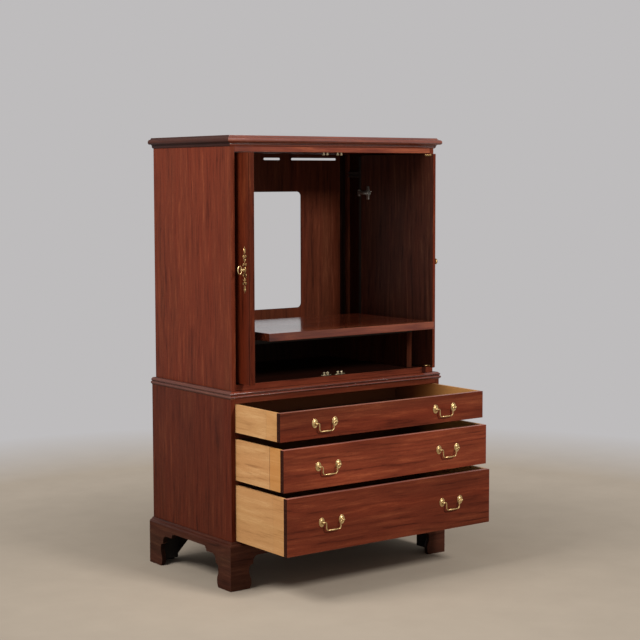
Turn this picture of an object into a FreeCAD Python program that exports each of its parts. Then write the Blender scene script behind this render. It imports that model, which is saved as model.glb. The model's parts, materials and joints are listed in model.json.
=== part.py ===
import FreeCAD, Part
import math
import os
import re
import Sketcher

# TV armoire: an upper case with a TV bay behind two pocket doors, over a case of three drawers on
# bracket feet. Millimetres, +Z up, +X to the viewer's right, the front faces -Y, the floor is z = 0.
# The rest pose is open: doors pushed into their pockets, platform pulled forward, drawers pulled out.

SIZES = {
    # place of the lower case's front face, which puts the origin under the middle of the open part
    "front_plane": -114.5,
    # lower case
    "case_width": 1030, "case_depth": 577, "side_thick": 19, "back_thick": 6,
    "bottom_board_thick": 16, "lower_top_thick": 17, "floor_reveal": 2.6,
    # base boards and their bracket feet
    "base_thick": 19, "base_height": 184,
    "base_ogee_height": 16, "base_ogee_depth": 15, "base_ogee_radius": 12,
    "foot_width": 87, "foot_swell_height": 50, "foot_swell_radius": 50,
    "foot_neck_width": 89, "foot_knee_height": 88, "foot_neck_radius": 42,
    "foot_fillet": 15, "foot_fillet_rise": 7, "foot_cove_rise": 8, "foot_cove_radius": 23,
    "foot_step": 43, "foot_spur_radius": 19,
    "glue_block": 64, "glue_lift": 22, "bracket_toe_width": 83,
    # drawers, from the bottom up
    "bottom_drawer_height": 213, "middle_drawer_height": 156, "top_drawer_height": 106,
    "bottom_drawer_out": 331, "middle_drawer_out": 311, "top_drawer_out": 290,
    "lower_rail": 17, "upper_rail": 24, "rail_width": 60, "runner_width": 50,
    "drawer_lift": 0.4, "drawer_headroom": 2, "drawer_side_gap": 1.5, "drawer_depth": 545,
    "drawer_front_thick": 20, "drawer_wall": 12, "drawer_lap": 7,
    "drawer_floor_thick": 6, "drawer_floor_rise": 10, "drawer_groove": 6,
    # drawer pulls
    "pull_centre": 292, "pull_spacing": 92, "pull_rise": 3, "pull_reach": 12,
    "rosette_wide": 26, "rosette_tall": 35, "rosette_dome": 4,
    "post_radius": 3.4, "ball_radius": 5, "eye_gap": 0.08,
    "bail_wire": 2.3, "bail_stub": 5, "bail_inset": 13, "bail_drop": 31,
    "bail_shoulder": 6, "bail_corner": 10, "bail_swell": 3.3, "bail_swell_long": 18, "bail_taper": 9,
    # waist moulding
    "waist_fillet": 3, "waist_bead": 10, "waist_quirk": 2, "waist_step": 2.5, "waist_inner": 40,
    # upper case
    "upper_inset": 18, "upper_setback": 19.5, "upper_height": 919,
    "upper_floor_thick": 24, "frieze_drop": 20, "frieze_thick": 20,
    "ceiling_thick": 18, "ceiling_step": 2, "top_board_thick": 15,
    "cleat_wide": 13, "cleat_deep": 20,
    # cornice
    "cornice_height": 41, "cornice_out": 25.5, "bed_step": 2, "bed_out": 7, "bed_height": 11,
    "bed_radius": 9, "soffit_step": 1.5, "soffit_out": 16, "soffit_height": 15, "soffit_radius": 6.5,
    "thumb_radius": 8, "lip_low": 21, "lip_high": 25.5, "ogee_out": 18, "ogee_up": 34, "ogee_radius": 9,
    "crown_out": 10.5, "crown_radius": 8,
    # cut-out and vent slots in the upper back
    "cutout_width": 456, "cutout_rise": 222, "cutout_height": 496, "cutout_radius": 20,
    "slot_length": 241, "slot_height": 9.5, "slot_spacing": 297, "slot_drop": 18.5, "slot_web": 68,
    # video bay and the TV platform over it
    "bay_inset": 73, "divider_thick": 25, "bay_front": 45, "bay_height": 144,
    "shelf_thick": 16, "platform_gap": 1, "platform_thick": 30, "platform_depth": 500,
    "platform_out": 116.5, "slide_thick": 8, "slide_plate": 2, "slide_wide": 44, "slide_lip": 3,
    "slide_inset": 60, "slide_gap": 0.3, "slide_length": 480, "slide_bar_length": 400,
    "slide_front_gap": 90,
    # pocket doors
    "door_width": 470, "door_thick": 20, "door_gap": 3, "pocket_gap": 17,
    "left_door_out": 73.5, "right_door_out": 64,
    "quirk_inset": 4, "quirk": 2.5, "rebate_depth": 8, "rebate_thick": 9,
    "moulding_inset": 100, "moulding_wide": 14, "moulding_thick": 4,
    "track_thick": 12, "track_tall": 24, "track_start": 42, "track_inset": 70,
    "track_groove": 8, "track_groove_deep": 8, "track_gap": 0.3,
    "carrier_deep": 16, "carrier_inset": 8, "carrier_gap": 2, "glide_reach": 5,
    "hinge_inset": 160, "hinge_back": 47, "hinge_tall": 58, "hinge_wide": 18, "hinge_plate": 2.5,
    "cup_radius": 17.5, "cup_deep": 12, "cup_wall": 2, "hinge_arm_wide": 15, "hinge_arm_thick": 9,
    "hinge_foot_tall": 30,
    "strike_edge": 12, "strike_long": 40, "strike_tall": 8, "strike_plate": 1.5,
    "tongue_long": 12, "tongue_thick": 4,
    # ball catches
    "catch_centre": 34, "catch_long": 50, "catch_deep": 11, "catch_plate": 1.5, "catch_height": 9.4,
    "catch_barrel": 4, "catch_ball": 3, "catch_mouth": 5, "catch_back": 2,
    # door furniture
    "plate_wide": 26, "plate_tall": 178, "escutcheon_inset": 34, "escutcheon_thick": 3,
    "handle_height": 432,
    "keyhole_radius": 3.08, "key_radius": 3, "key_stem": 11.5, "key_collar": 5, "key_collar_long": 4,
    "bow_radius": 10, "bow_hole": 4.7, "bow_straight": 13, "bow_thick": 4.6, "bow_edge": 1.5,
    "lock_wide": 44, "lock_tall": 60, "lock_deep": 10,
    "knob_radius": 12, "knob_neck": 4.5, "knob_reach": 29,
}

os.makedirs("parts", exist_ok=True)
doc = FreeCAD.newDocument("tv_armoire")
sheet = doc.addObject("Spreadsheet::Sheet", "sizes")
for row, (alias, number) in enumerate(SIZES.items(), start=1):
    sheet.set(f"A{row}", alias)
    sheet.set(f"B{row}", str(number))
    sheet.setAlias(f"B{row}", alias)
doc.recompute()

WORD = re.compile(r"[a-z_][a-z_0-9]*")
nodes = {}


# ---------------------------------------------------------------- levels and places worked out once

HALF_CASE = "(case_width / 2)"
REAR = "(front_plane + case_depth)"
INSIDE_REAR = f"({REAR} - back_thick)"
OPENING_FLOOR = "(base_height + floor_reveal)"
BOTTOM_DRAWER = f"({OPENING_FLOOR} + drawer_lift)"
LOWER_RAIL = f"({BOTTOM_DRAWER} + bottom_drawer_height + drawer_headroom)"
MIDDLE_DRAWER = f"({LOWER_RAIL} + lower_rail + drawer_lift)"
UPPER_RAIL = f"({MIDDLE_DRAWER} + middle_drawer_height + drawer_headroom)"
TOP_DRAWER = f"({UPPER_RAIL} + upper_rail + drawer_lift)"
LOWER_BOARD = f"({TOP_DRAWER} + top_drawer_height + drawer_headroom)"
LOWER_TOP = f"({LOWER_BOARD} + lower_top_thick)"
WAIST_HEIGHT = "(2 * waist_fillet + 2 * waist_bead + waist_quirk)"
UPPER_BOTTOM = f"({LOWER_TOP} + {WAIST_HEIGHT})"
UPPER_FLOOR = f"({UPPER_BOTTOM} + upper_floor_thick)"
CORNICE_BOTTOM = f"({UPPER_BOTTOM} + upper_height)"
FRIEZE_BOTTOM = f"({CORNICE_BOTTOM} - frieze_drop)"
TOP_BOARD = f"({CORNICE_BOTTOM} + cornice_height - top_board_thick)"
HALF_UPPER = f"({HALF_CASE} - upper_inset)"
HALF_INSIDE = f"({HALF_UPPER} - side_thick)"
UPPER_FRONT = "(front_plane + upper_setback)"
UPPER_DEPTH = f"({REAR} - {UPPER_FRONT})"
HALF_BAY = f"({HALF_INSIDE} - bay_inset)"
HALF_PLATFORM = f"({HALF_BAY} - platform_gap)"
SHELF = f"({UPPER_FLOOR} + bay_height)"
SHELF_TOP = f"({SHELF} + shelf_thick)"
PLATFORM = f"({SHELF_TOP} + slide_thick)"
BAY_FRONT = "(front_plane + bay_front)"
DOOR_BOTTOM = f"({UPPER_FLOOR} + door_gap)"
DOOR_HEIGHT = f"({FRIEZE_BOTTOM} - {UPPER_FLOOR} - 2 * door_gap)"
DOOR_OUTER = f"({HALF_INSIDE} - pocket_gap)"
DOOR_INNER = f"({DOOR_OUTER} - door_thick)"
HALF_DRAWER = f"({HALF_CASE} - side_thick - drawer_side_gap)"
BAIL_END = "(pull_spacing / 2 + bail_stub)"
BAIL_LEG = "(pull_spacing / 2 - bail_inset)"


# ---------------------------------------------------------------- helpers

def tied(text):
    """The expression with each size named as a cell of the sheet."""
    return WORD.sub(lambda word: "sizes." * (word.group() in SIZES) + word.group(), str(text))


def number(text):
    return float(sheet.evalExpression(str(text)))


def bind(thing, **sizes):
    for name, text in sizes.items():
        thing.setExpression(name, tied(text))
    return thing


def place(thing, x="0", y="0", z="0"):
    for axis, text in zip("xyz", (x, y, z)):
        thing.setExpression(f"Placement.Base.{axis}", tied(text))
    return thing


def turn(thing, axis, degrees):
    rotation = FreeCAD.Rotation(FreeCAD.Vector(*axis), degrees)
    thing.Placement = FreeCAD.Placement(thing.Placement.Base, rotation)
    return thing


def block(name, corner, size):
    """A rectangular board or block from its low corner and its size."""
    box = doc.addObject("Part::Box", name)
    bind(box, Length=size[0], Width=size[1], Height=size[2])
    return place(box, *corner)


def side_block(name, side, inner, outer, y, z, depth, height):
    """A block between two distances from the middle plane, on one side of it (-1 left, +1 right)."""
    low = inner if side > 0 else f"-({outer})"
    return block(name, (low, y, z), (f"{outer} - ({inner})", depth, height))


def rod(name, radius, length, corner, axis=(0, 0, 1)):
    """A round bar from its first end; axis is the way it runs."""
    bar = bind(doc.addObject("Part::Cylinder", name), Radius=radius, Height=length)
    bar.Placement = FreeCAD.Placement(
        FreeCAD.Vector(), FreeCAD.Rotation(FreeCAD.Vector(0, 0, 1), FreeCAD.Vector(*axis)))
    return place(bar, *corner)


def fuse(name, pieces):
    whole = doc.addObject("Part::MultiFuse", name)
    whole.Shapes = pieces
    return whole


def cut(name, base, tool):
    rest = doc.addObject("Part::Cut", name)
    rest.Base, rest.Tool = base, tool
    return rest


def common(name, pieces):
    shared = doc.addObject("Part::MultiCommon", name)
    shared.Shapes = pieces
    return shared


def group(name, pieces):
    """Separate solids kept together in one object."""
    whole = doc.addObject("Part::Compound", name)
    whole.Links = pieces
    return whole


def copy_at(name, template, x, y, z):
    return place(group(name, [template]), x, y, z)


def mirrored(name, source):
    """The same piece on the other side of the middle plane."""
    twin = doc.addObject("Part::Mirroring", name)
    twin.Source, twin.Normal = source, FreeCAD.Vector(1, 0, 0)
    return twin


def node(name, thing):
    """Makes an object a sub-part of the armoire under its own label."""
    thing.Label = name
    nodes[name] = thing
    return thing


def new_sketch(body, plane):
    sketch = body.newObject("Sketcher::SketchObject", body.Name + "_outline")
    face = [item for item in body.Origin.OriginFeatures if item.Role == plane][0]
    sketch.AttachmentSupport = [(face, "")]
    sketch.MapMode = "FlatFace"
    return sketch


def flipped(points):
    """The outline mirrored left to right: the bends turn the other way."""
    return [(f"-({p[0]})", p[1]) + ((p[2], -p[3]) if len(p) == 4 else ()) for p in points]


def outline(sketch, points, closed=True):
    """Draws lines and arcs through points (x, y), each tied to the sheet. A point (x, y, radius, side)
    starts an arc of that radius to the next point, its centre to the left (+1) or right (-1)."""
    first = sketch.GeometryCount
    count = len(points) if closed else len(points) - 1
    ends = []
    for index in range(count):
        here, there = points[index], points[(index + 1) % len(points)]
        a = FreeCAD.Vector(number(here[0]), number(here[1]), 0)
        b = FreeCAD.Vector(number(there[0]), number(there[1]), 0)
        if len(here) == 2:
            sketch.addGeometry(Part.LineSegment(a, b), False)
            ends.append((1, 2))
            continue
        radius, side = number(here[2]), here[3]
        along = (b - a).normalize()
        rise = math.sqrt(max(radius ** 2 - (b - a).Length ** 2 / 4, 0))
        centre = (a + b) / 2 + FreeCAD.Vector(-along.y, along.x, 0) * rise * side
        start, stop = (a, b) if side > 0 else (b, a)
        angles = [math.atan2(p.y - centre.y, p.x - centre.x) for p in (start, stop)]
        circle = Part.Circle(centre, FreeCAD.Vector(0, 0, 1), radius)
        sketch.addGeometry(Part.ArcOfCircle(circle, *angles), False)
        ends.append((1, 2) if side > 0 else (2, 1))
        size = sketch.addConstraint(Sketcher.Constraint("Radius", first + index, radius))
        sketch.setExpression(f"Constraints[{size}]", tied(here[2]))
    for index in range(count):
        joins = (index + 1) % count
        if closed or joins:
            sketch.addConstraint(Sketcher.Constraint(
                "Coincident", first + index, ends[index][1], first + joins, ends[joins][0]))
    for index, point in enumerate(points):
        curve = min(index, count - 1)
        end = ends[curve][0] if index == curve else ends[curve][1]
        for kind, text in (("DistanceX", point[0]), ("DistanceY", point[1])):
            size = sketch.addConstraint(Sketcher.Constraint(kind, -1, 1, first + curve, end, number(text)))
            sketch.setExpression(f"Constraints[{size}]", tied(text))


def prism(name, plane, outlines, length):
    """A body whose outline, drawn on an origin plane, runs the given length towards +X, +Y or +Z."""
    body = doc.addObject("PartDesign::Body", name)
    sketch = new_sketch(body, plane)
    for points in outlines:
        outline(sketch, points)
    pad = body.newObject("PartDesign::Pad", name + "_pad")
    pad.Profile = sketch
    pad.Reversed = plane == "XZ_Plane"
    bind(pad, Length=length)
    body.Tip = pad
    return body


def slot_outline(length, height, radius):
    """A rounded rectangle about the origin."""
    x, y, r = f"({length}) / 2", f"({height}) / 2", f"({radius})"
    return [
        (f"{r} - {x}", f"-{y}"), (f"{x} - {r}", f"-{y}", r, 1), (x, f"{r} - {y}"), (x, f"{y} - {r}", r, 1),
        (f"{x} - {r}", y), (f"{r} - {x}", y, r, 1), (f"-{x}", f"{y} - {r}"), (f"-{x}", f"{r} - {y}", r, 1),
    ]


def mitre(name, half, front, out, inner, bottom, height):
    """The wedge that holds the front length of a moulding between its two 45 degree mitres."""
    wedge = doc.addObject("Part::Wedge", name)
    return bind(
        wedge, Xmin=f"-({half} + {out})", Xmax=f"{half} + {out}", X2min=f"-({half} - {inner})",
        X2max=f"{half} - {inner}", Ymin=f"{front} - {out}", Ymax=f"{front} + {inner}",
        Zmin=bottom, Zmax=f"{bottom} + {height}", Z2min=bottom, Z2max=f"{bottom} + {height}")


def moulding(name, section, half, front, out, inner, bottom, height):
    """A moulding round the front and two sides: section is drawn outwards from the case's face."""
    wedge = mitre(name + "_mitre", half, front, out, inner, bottom, height)
    start, run = f"{front} - {out}", f"{REAR} - {front} + {out}"
    across = prism(name + "_across", "YZ_Plane", [flipped(section)], f"2 * ({half} + {out})")
    right = prism(name + "_right_run", "XZ_Plane", [section], run)
    left = prism(name + "_left_run", "XZ_Plane", [flipped(section)], run)
    place(across, f"-({half} + {out})", front, bottom)
    place(right, half, start, bottom)
    place(left, f"-({half})", start, bottom)
    return [
        common(name + "_front", [across, wedge]),
        cut(name + "_left", left, wedge),
        cut(name + "_right", right, wedge),
    ]


# ---------------------------------------------------------------- base

def bracket_outline(length):
    """The board seen square on: two bracket feet and the apron between. Up from the floor a foot swells,
    draws in to a neck, steps out at a fillet, and runs through a cove and a spur to the apron."""
    fillet = "(foot_neck_width + foot_fillet)"
    low = "(foot_knee_height + foot_fillet_rise)"
    cove = f"({fillet} + foot_cove_radius)"
    cusp = f"({low} + foot_cove_rise + foot_cove_radius)"
    spur = f"({cove} + foot_step)"
    foot = [
        ("foot_width", "0", "foot_swell_radius", 1),
        ("foot_neck_width", "foot_swell_height", "foot_neck_radius", -1),
        ("foot_neck_width", "foot_knee_height"), (fillet, low),
        (fillet, f"{low} + foot_cove_rise", "foot_cove_radius", -1), (cove, cusp),
        (spur, cusp, "foot_spur_radius", -1),
        (f"({spur} + foot_spur_radius)", f"{cusp} + foot_spur_radius"),
    ]
    far = [(f"{length} - {there[0]}", there[1]) + here[2:] for here, there in zip(foot[:-1], foot[1:])]
    end = [(f"{length} - foot_width", "0"), (length, "0"), (length, "base_height"), ("0", "base_height")]
    return [("0", "0")] + foot + far[::-1] + end


def base():
    """Three mitred base boards with an ogee worked on the top edge."""
    section = [
        ("0", "0"), ("base_thick", "0"),
        ("base_thick", "base_height - base_ogee_height", "base_ogee_radius", 1),
        ("base_thick - base_ogee_depth / 2", "base_height - base_ogee_height / 2", "base_ogee_radius", -1),
        ("base_thick - base_ogee_depth", "base_height"), ("0", "base_height"),
    ]
    front, left, right = moulding(
        "base", section, HALF_CASE, "front_plane", "base_thick", "0", "0", "base_height")
    width, depth = "(case_width + 2 * base_thick)", "(case_depth + base_thick)"
    corner = f"-({HALF_CASE} + base_thick)"
    face = place(prism("front_bracket", "XZ_Plane", [bracket_outline(width)], "base_thick"),
                 corner, "front_plane - base_thick")
    node("front_base_board", common("front_board", [front, face]))
    for name, strip, x in (("left", left, corner), ("right", right, HALF_CASE)):
        face = place(prism(name + "_bracket", "YZ_Plane", [bracket_outline(depth)], "base_thick"),
                     x, "front_plane - base_thick")
        node(name + "_base_board", common(name + "_board", [strip, face]))


def base_inside():
    """Braces cut at 45 degrees that face the wall behind the rear feet, and a glue block in each foot."""
    under = "(base_height - bottom_board_thick)"
    toe = [("0", "0"), ("bracket_toe_width", "0"), (f"bracket_toe_width + {under}", under), ("0", under)]
    left = place(prism("left_rear_bracket", "XZ_Plane", [toe], "base_thick"),
                 f"-{HALF_CASE}", f"{REAR} - base_thick")
    right = place(prism("right_rear_bracket", "XZ_Plane", [flipped(toe)], "base_thick"),
                  HALF_CASE, f"{REAR} - base_thick")
    node("rear_brackets", group("rear_bracket_pair", [left, right]))
    blocks = []
    for side, word in ((-1, "left"), (1, "right")):
        for end, y in (("front", "front_plane"), ("rear", f"{REAR} - base_thick - glue_block")):
            blocks.append(side_block(
                f"{end}_{word}_block", side, f"{HALF_CASE} - glue_block", HALF_CASE, y, "glue_lift",
                "glue_block", "base_height - bottom_board_thick - glue_lift"))
    node("foot_blocks", group("foot_block_set", blocks))


# ---------------------------------------------------------------- lower case

def lower_case():
    lower = f"{LOWER_TOP} - base_height + bottom_board_thick"
    start = "base_height - bottom_board_thick"
    for side, word in ((-1, "left"), (1, "right")):
        node(f"lower_{word}_side", side_block(
            f"lower_{word}", side, f"{HALF_CASE} - side_thick", HALF_CASE, "front_plane", start,
            "case_depth", lower))
    inside = "case_width - 2 * side_thick"
    corner = f"side_thick - {HALF_CASE}"
    node("lower_bottom_board", block(
        "bottom_board", (corner, "front_plane", start),
        (inside, "case_depth - back_thick", f"{OPENING_FLOOR} - base_height + bottom_board_thick")))
    node("lower_top_board", block(
        "top_board_low", (corner, "front_plane", LOWER_BOARD),
        (inside, "case_depth - back_thick", "lower_top_thick")))
    node("lower_back_panel", block(
        "back_low", (corner, INSIDE_REAR, start), (inside, "back_thick", lower)))
    frames = web_frame("lower_frame", corner, inside, LOWER_RAIL, "lower_rail")
    frames += web_frame("upper_frame", corner, inside, UPPER_RAIL, "upper_rail")
    node("drawer_web_frames", group("web_frame_pair", frames))


def web_frame(name, corner, inside, level, thick):
    """The rails between two drawers: a front rail, a rear rail and a runner each side."""
    rear = f"{INSIDE_REAR} - rail_width"
    run = "case_depth - back_thick - 2 * rail_width"
    pieces = [
        block(name + "_front", (corner, "front_plane", level), (inside, "rail_width", thick)),
        block(name + "_rear", (corner, rear, level), (inside, "rail_width", thick)),
    ]
    for side, word in ((-1, "left"), (1, "right")):
        pieces.append(side_block(
            f"{name}_{word}", side, f"{HALF_CASE} - side_thick - runner_width",
            f"{HALF_CASE} - side_thick", "front_plane + rail_width", level, run, thick))
    return pieces


# ---------------------------------------------------------------- waist and upper case

def waist():
    radius = "(waist_bead * 0.52)"
    top = "(waist_fillet + waist_bead + waist_quirk)"
    section = [
        ("-waist_inner", "0"), ("0", "0"), ("waist_step", "waist_fillet", radius, 1),
        ("waist_step", "waist_fillet + waist_bead"), ("0", f"{top}", radius, 1),
        ("0", f"{top} + waist_bead"), ("-waist_fillet", f"{top} + waist_bead + waist_fillet"),
        ("-waist_inner", f"{top} + waist_bead + waist_fillet"),
    ]
    strips = moulding("waist", section, HALF_CASE, "front_plane", "waist_bead", "waist_inner",
                      LOWER_TOP, WAIST_HEIGHT)
    node("waist_moulding", group("waist_set", strips))


def upper_case():
    for side, word in ((-1, "left"), (1, "right")):
        node(f"upper_{word}_side", side_block(
            f"upper_{word}", side, HALF_INSIDE, HALF_UPPER, UPPER_FRONT, UPPER_BOTTOM, UPPER_DEPTH,
            f"{TOP_BOARD} - {UPPER_BOTTOM}"))
    inside, corner = f"2 * {HALF_INSIDE}", f"-{HALF_INSIDE}"
    depth = f"{UPPER_DEPTH} - back_thick"
    node("upper_floor_board", block(
        "floor_board", (corner, UPPER_FRONT, UPPER_BOTTOM), (inside, depth, "upper_floor_thick")))
    node("frieze_rail", block(
        "frieze", (corner, UPPER_FRONT, FRIEZE_BOTTOM),
        (inside, "frieze_thick", f"{TOP_BOARD} - {FRIEZE_BOTTOM}")))
    node("upper_ceiling_board", block(
        "ceiling", (corner, f"{UPPER_FRONT} + frieze_thick", f"{FRIEZE_BOTTOM} + ceiling_step"),
        (inside, f"{depth} - frieze_thick", "ceiling_thick")))
    node("top_board", block(
        "crown_board", (f"-{HALF_UPPER}", UPPER_FRONT, TOP_BOARD),
        (f"2 * {HALF_UPPER}", UPPER_DEPTH, "top_board_thick")))
    cleats = [
        side_block(f"{word}_cleat", side, f"{HALF_INSIDE} - cleat_wide", HALF_INSIDE,
                   f"{INSIDE_REAR} - cleat_deep", UPPER_FLOOR, "cleat_deep",
                   f"{FRIEZE_BOTTOM} + ceiling_step - {UPPER_FLOOR}")
        for side, word in ((-1, "left"), (1, "right"))]
    node("back_cleats", group("cleat_pair", cleats))


def upper_back():
    """The thin back with a large round-cornered cut-out and a row of vent slots under the ceiling: a long
    one each side, and a shorter pair with a web between them on the middle line."""
    panel = block("back_sheet", (f"-{HALF_INSIDE}", INSIDE_REAR, UPPER_BOTTOM),
                  (f"2 * {HALF_INSIDE}", "back_thick", f"{TOP_BOARD} - {UPPER_BOTTOM}"))
    hole = prism("cutout", "XZ_Plane", [slot_outline("cutout_width", "cutout_height", "cutout_radius")],
                 "back_thick")
    place(hole, "0", INSIDE_REAR, f"{UPPER_FLOOR} + cutout_rise + cutout_height / 2")
    tools = [hole]
    short = "((slot_length - slot_web) / 2)"
    for step, word in ((-1, "left"), (1, "right")):
        for kind, length, x in (("long", "slot_length", "slot_spacing"),
                                ("short", short, f"(slot_web + {short}) / 2")):
            slot = prism(f"{word}_{kind}_slot", "XZ_Plane",
                         [slot_outline(length, "slot_height", "slot_height * 0.49")], "back_thick")
            tools.append(place(slot, f"{step} * {x}", INSIDE_REAR, f"{FRIEZE_BOTTOM} - slot_drop"))
    node("upper_back_panel", cut("back_pierced", panel, fuse("back_holes", tools)))


def cornice():
    """A bed mould on the frieze, a hollow, then a thumb moulding, a lip and an ogee up to the crown."""
    section = [
        ("0", "0"), ("bed_step", "0", "bed_radius", 1), ("bed_out", "bed_height"),
        ("bed_out + soffit_step", "bed_height", "soffit_radius", -1),
        ("soffit_out", "soffit_height", "thumb_radius", 1), ("cornice_out", "lip_low"),
        ("cornice_out", "lip_high", "ogee_radius", 1), ("ogee_out", "ogee_up", "crown_radius", -1),
        ("crown_out", "cornice_height"), ("0", "cornice_height"),
    ]
    strips = moulding("cornice", section, HALF_UPPER, UPPER_FRONT, "cornice_out", "0",
                      CORNICE_BOTTOM, "cornice_height")
    node("cornice", group("cornice_set", strips))


# ---------------------------------------------------------------- video bay and TV platform

def video_bay():
    depth = f"{INSIDE_REAR} - {BAY_FRONT}"
    dividers = [
        side_block(f"{word}_divider", side, f"{HALF_BAY} - divider_thick", HALF_BAY,
                   BAY_FRONT, UPPER_FLOOR, depth, "bay_height")
        for side, word in ((-1, "left"), (1, "right"))]
    node("video_bay_dividers", group("divider_pair", dividers))
    node("video_shelf", block("shelf", (f"-{HALF_BAY}", BAY_FRONT, SHELF),
                              (f"2 * {HALF_BAY}", depth, "shelf_thick")))


def platform_slides():
    """A steel channel screwed to the shelf each side, and a bar under the platform that runs in it."""
    channels, bars = [], []
    front = f"{BAY_FRONT} + slide_lip"
    for side, word in ((-1, "left"), (1, "right")):
        inner = f"({HALF_PLATFORM} - slide_inset - slide_wide)"
        outer = f"({HALF_PLATFORM} - slide_inset)"
        channel = side_block(f"{word}_channel", side, inner, outer, front, SHELF_TOP,
                             "slide_length", "slide_thick - slide_plate")
        trough = side_block(f"{word}_trough", side, f"{inner} + slide_lip", f"{outer} - slide_lip",
                            front, f"{SHELF_TOP} + slide_plate", "slide_length", "slide_thick")
        channels.append(cut(f"{word}_rail", channel, trough))
        bars.append(side_block(
            f"{word}_bar", side, f"{inner} + slide_lip + slide_gap", f"{outer} - slide_lip - slide_gap",
            f"{UPPER_FRONT} - platform_out + slide_front_gap", f"{SHELF_TOP} + slide_plate + slide_gap",
            "slide_bar_length", "slide_thick - slide_plate - slide_gap"))
    node("shelf_slides", group("channel_pair", channels))
    node("platform_slides", group("bar_pair", bars))


def platform():
    node("tv_platform", block(
        "platform", (f"-{HALF_PLATFORM}", f"{UPPER_FRONT} - platform_out", PLATFORM),
        (f"2 * {HALF_PLATFORM}", "platform_depth", "platform_thick")))


# ---------------------------------------------------------------- tracks and catches

def track_levels():
    low = f"({DOOR_BOTTOM} + track_inset)"
    high = f"({DOOR_BOTTOM} + {DOOR_HEIGHT} - track_inset - track_tall)"
    return (("lower", low), ("upper", high))


def door_tracks():
    """Grooved rails along both case sides, in which the door carriers run."""
    tracks = []
    start = "(front_plane + track_start)"
    run = f"{INSIDE_REAR} - cleat_deep - {start}"
    for level_name, level in track_levels():
        for side, word in ((-1, "left"), (1, "right")):
            inner = f"({HALF_INSIDE} - track_thick)"
            rail = side_block(f"{level_name}_{word}_rail", side, inner, HALF_INSIDE, start, level,
                              run, "track_tall")
            groove = side_block(
                f"{level_name}_{word}_groove", side, inner, f"{inner} + track_groove_deep", start,
                f"{level} + (track_tall - track_groove) / 2", run, "track_groove")
            tracks.append(cut(f"{level_name}_{word}_track", rail, groove))
    node("door_tracks", group("track_set", tracks))


def catch(name):
    """A double ball catch on its plate: two barrels face each other and a ball stands in each."""
    pieces = [block(name + "_plate", ("-catch_long / 2", "-catch_deep / 2", "0"),
                    ("catch_long", "catch_deep", "catch_plate"))]
    for side, word in ((-1, "left"), (1, "right")):
        start = "catch_mouth" if side > 0 else "-catch_long / 2"
        pieces.append(rod(f"{name}_{word}_barrel", "catch_barrel", "catch_long / 2 - catch_mouth",
                          (start, "0", "catch_height"), axis=(1, 0, 0)))
        pieces.append(block(
            f"{name}_{word}_foot", (start, "-catch_ball / 2", "0"),
            ("catch_long / 2 - catch_mouth", "catch_ball", "catch_height")))
        ball = bind(doc.addObject("Part::Sphere", f"{name}_{word}_ball"), Radius="catch_ball")
        pieces.append(place(ball, f"{side} * (catch_mouth + 0.2)", "0", "catch_height"))
    return fuse(name, pieces)


def ball_catches():
    template = catch("catch_unit")
    depth = f"{UPPER_FRONT} + 1 + door_thick + catch_back + catch_deep / 2"
    pieces = []
    for side, word in ((-1, "left"), (1, "right")):
        x = f"{side} * catch_centre"
        pieces.append(copy_at(f"lower_{word}_catch", template, x, depth, UPPER_FLOOR))
        hung = turn(group(f"upper_{word}_catch", [template]), (0, 1, 0), 180)
        pieces.append(place(hung, x, depth, f"{FRIEZE_BOTTOM} + ceiling_step"))
    node("ball_catches", group("catch_set", pieces))


# ---------------------------------------------------------------- pocket doors

def plate_outline():
    """The ornamental plate's edge: scrolled lobes from foot to head, then the same down the other side."""
    lobes = [
        (0, -0.5), (0.23, -0.425, 0.048, -1), (0.15, -0.376, 0.086, 1), (0.47, -0.28, 0.048, -1),
        (0.27, -0.204, 0.075, 1), (0.5, -0.108, 0.048, -1), (0.37, -0.054, 0.065, 1),
        (0.37, 0.054, 0.048, -1), (0.5, 0.108, 0.075, 1), (0.27, 0.204, 0.048, -1),
        (0.47, 0.28, 0.086, 1), (0.15, 0.376, 0.048, -1), (0.23, 0.425), (0, 0.5),
    ]
    edge = []
    for across, up, *bend in lobes:
        arc = (f"plate_tall * {bend[0]}", bend[1]) if bend else ()
        edge.append((f"plate_wide * {across}", f"plate_tall * {up}") + arc)
    back = [(f"-({there[0]})", there[1]) + here[2:] for here, there in zip(edge[:-1], edge[1:])]
    return edge[:-1] + back[::-1]


def door_parts(word, out, right):
    """One pocket door, drawn on the right: slab, moulding, carrier, hinges, strikes and furniture."""
    pieces = {}
    front = f"({UPPER_FRONT} - {out})"
    rear = f"({front} + door_width)"
    handle_y = f"({front} + escutcheon_inset)"
    handle_z = f"({DOOR_BOTTOM} + handle_height)"
    pieces["door_panel"] = door_slab(word, front, right, handle_y, handle_z)
    pieces["door_moulding"] = door_moulding(word, front)
    pieces["door_carrier"] = door_carrier(word, rear)
    pieces["door_hinges"] = door_hinges(word, rear)
    pieces["door_strikes"] = door_strikes(word, front)
    plate = door_plate(word, handle_y, handle_z)
    if right:
        pieces["door_pull"] = group(f"{word}_pull_set", [plate, door_knob(word, handle_y, handle_z)])
    else:
        pieces["door_escutcheon"] = plate
        pieces["door_lock"] = door_lock(word, handle_y, handle_z)
        pieces["door_key"] = door_key(word, handle_y, handle_z)
    for name, piece in pieces.items():
        node(f"{word}_{name}", piece if right else mirrored(f"{word}_{name}_twin", piece))


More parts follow.
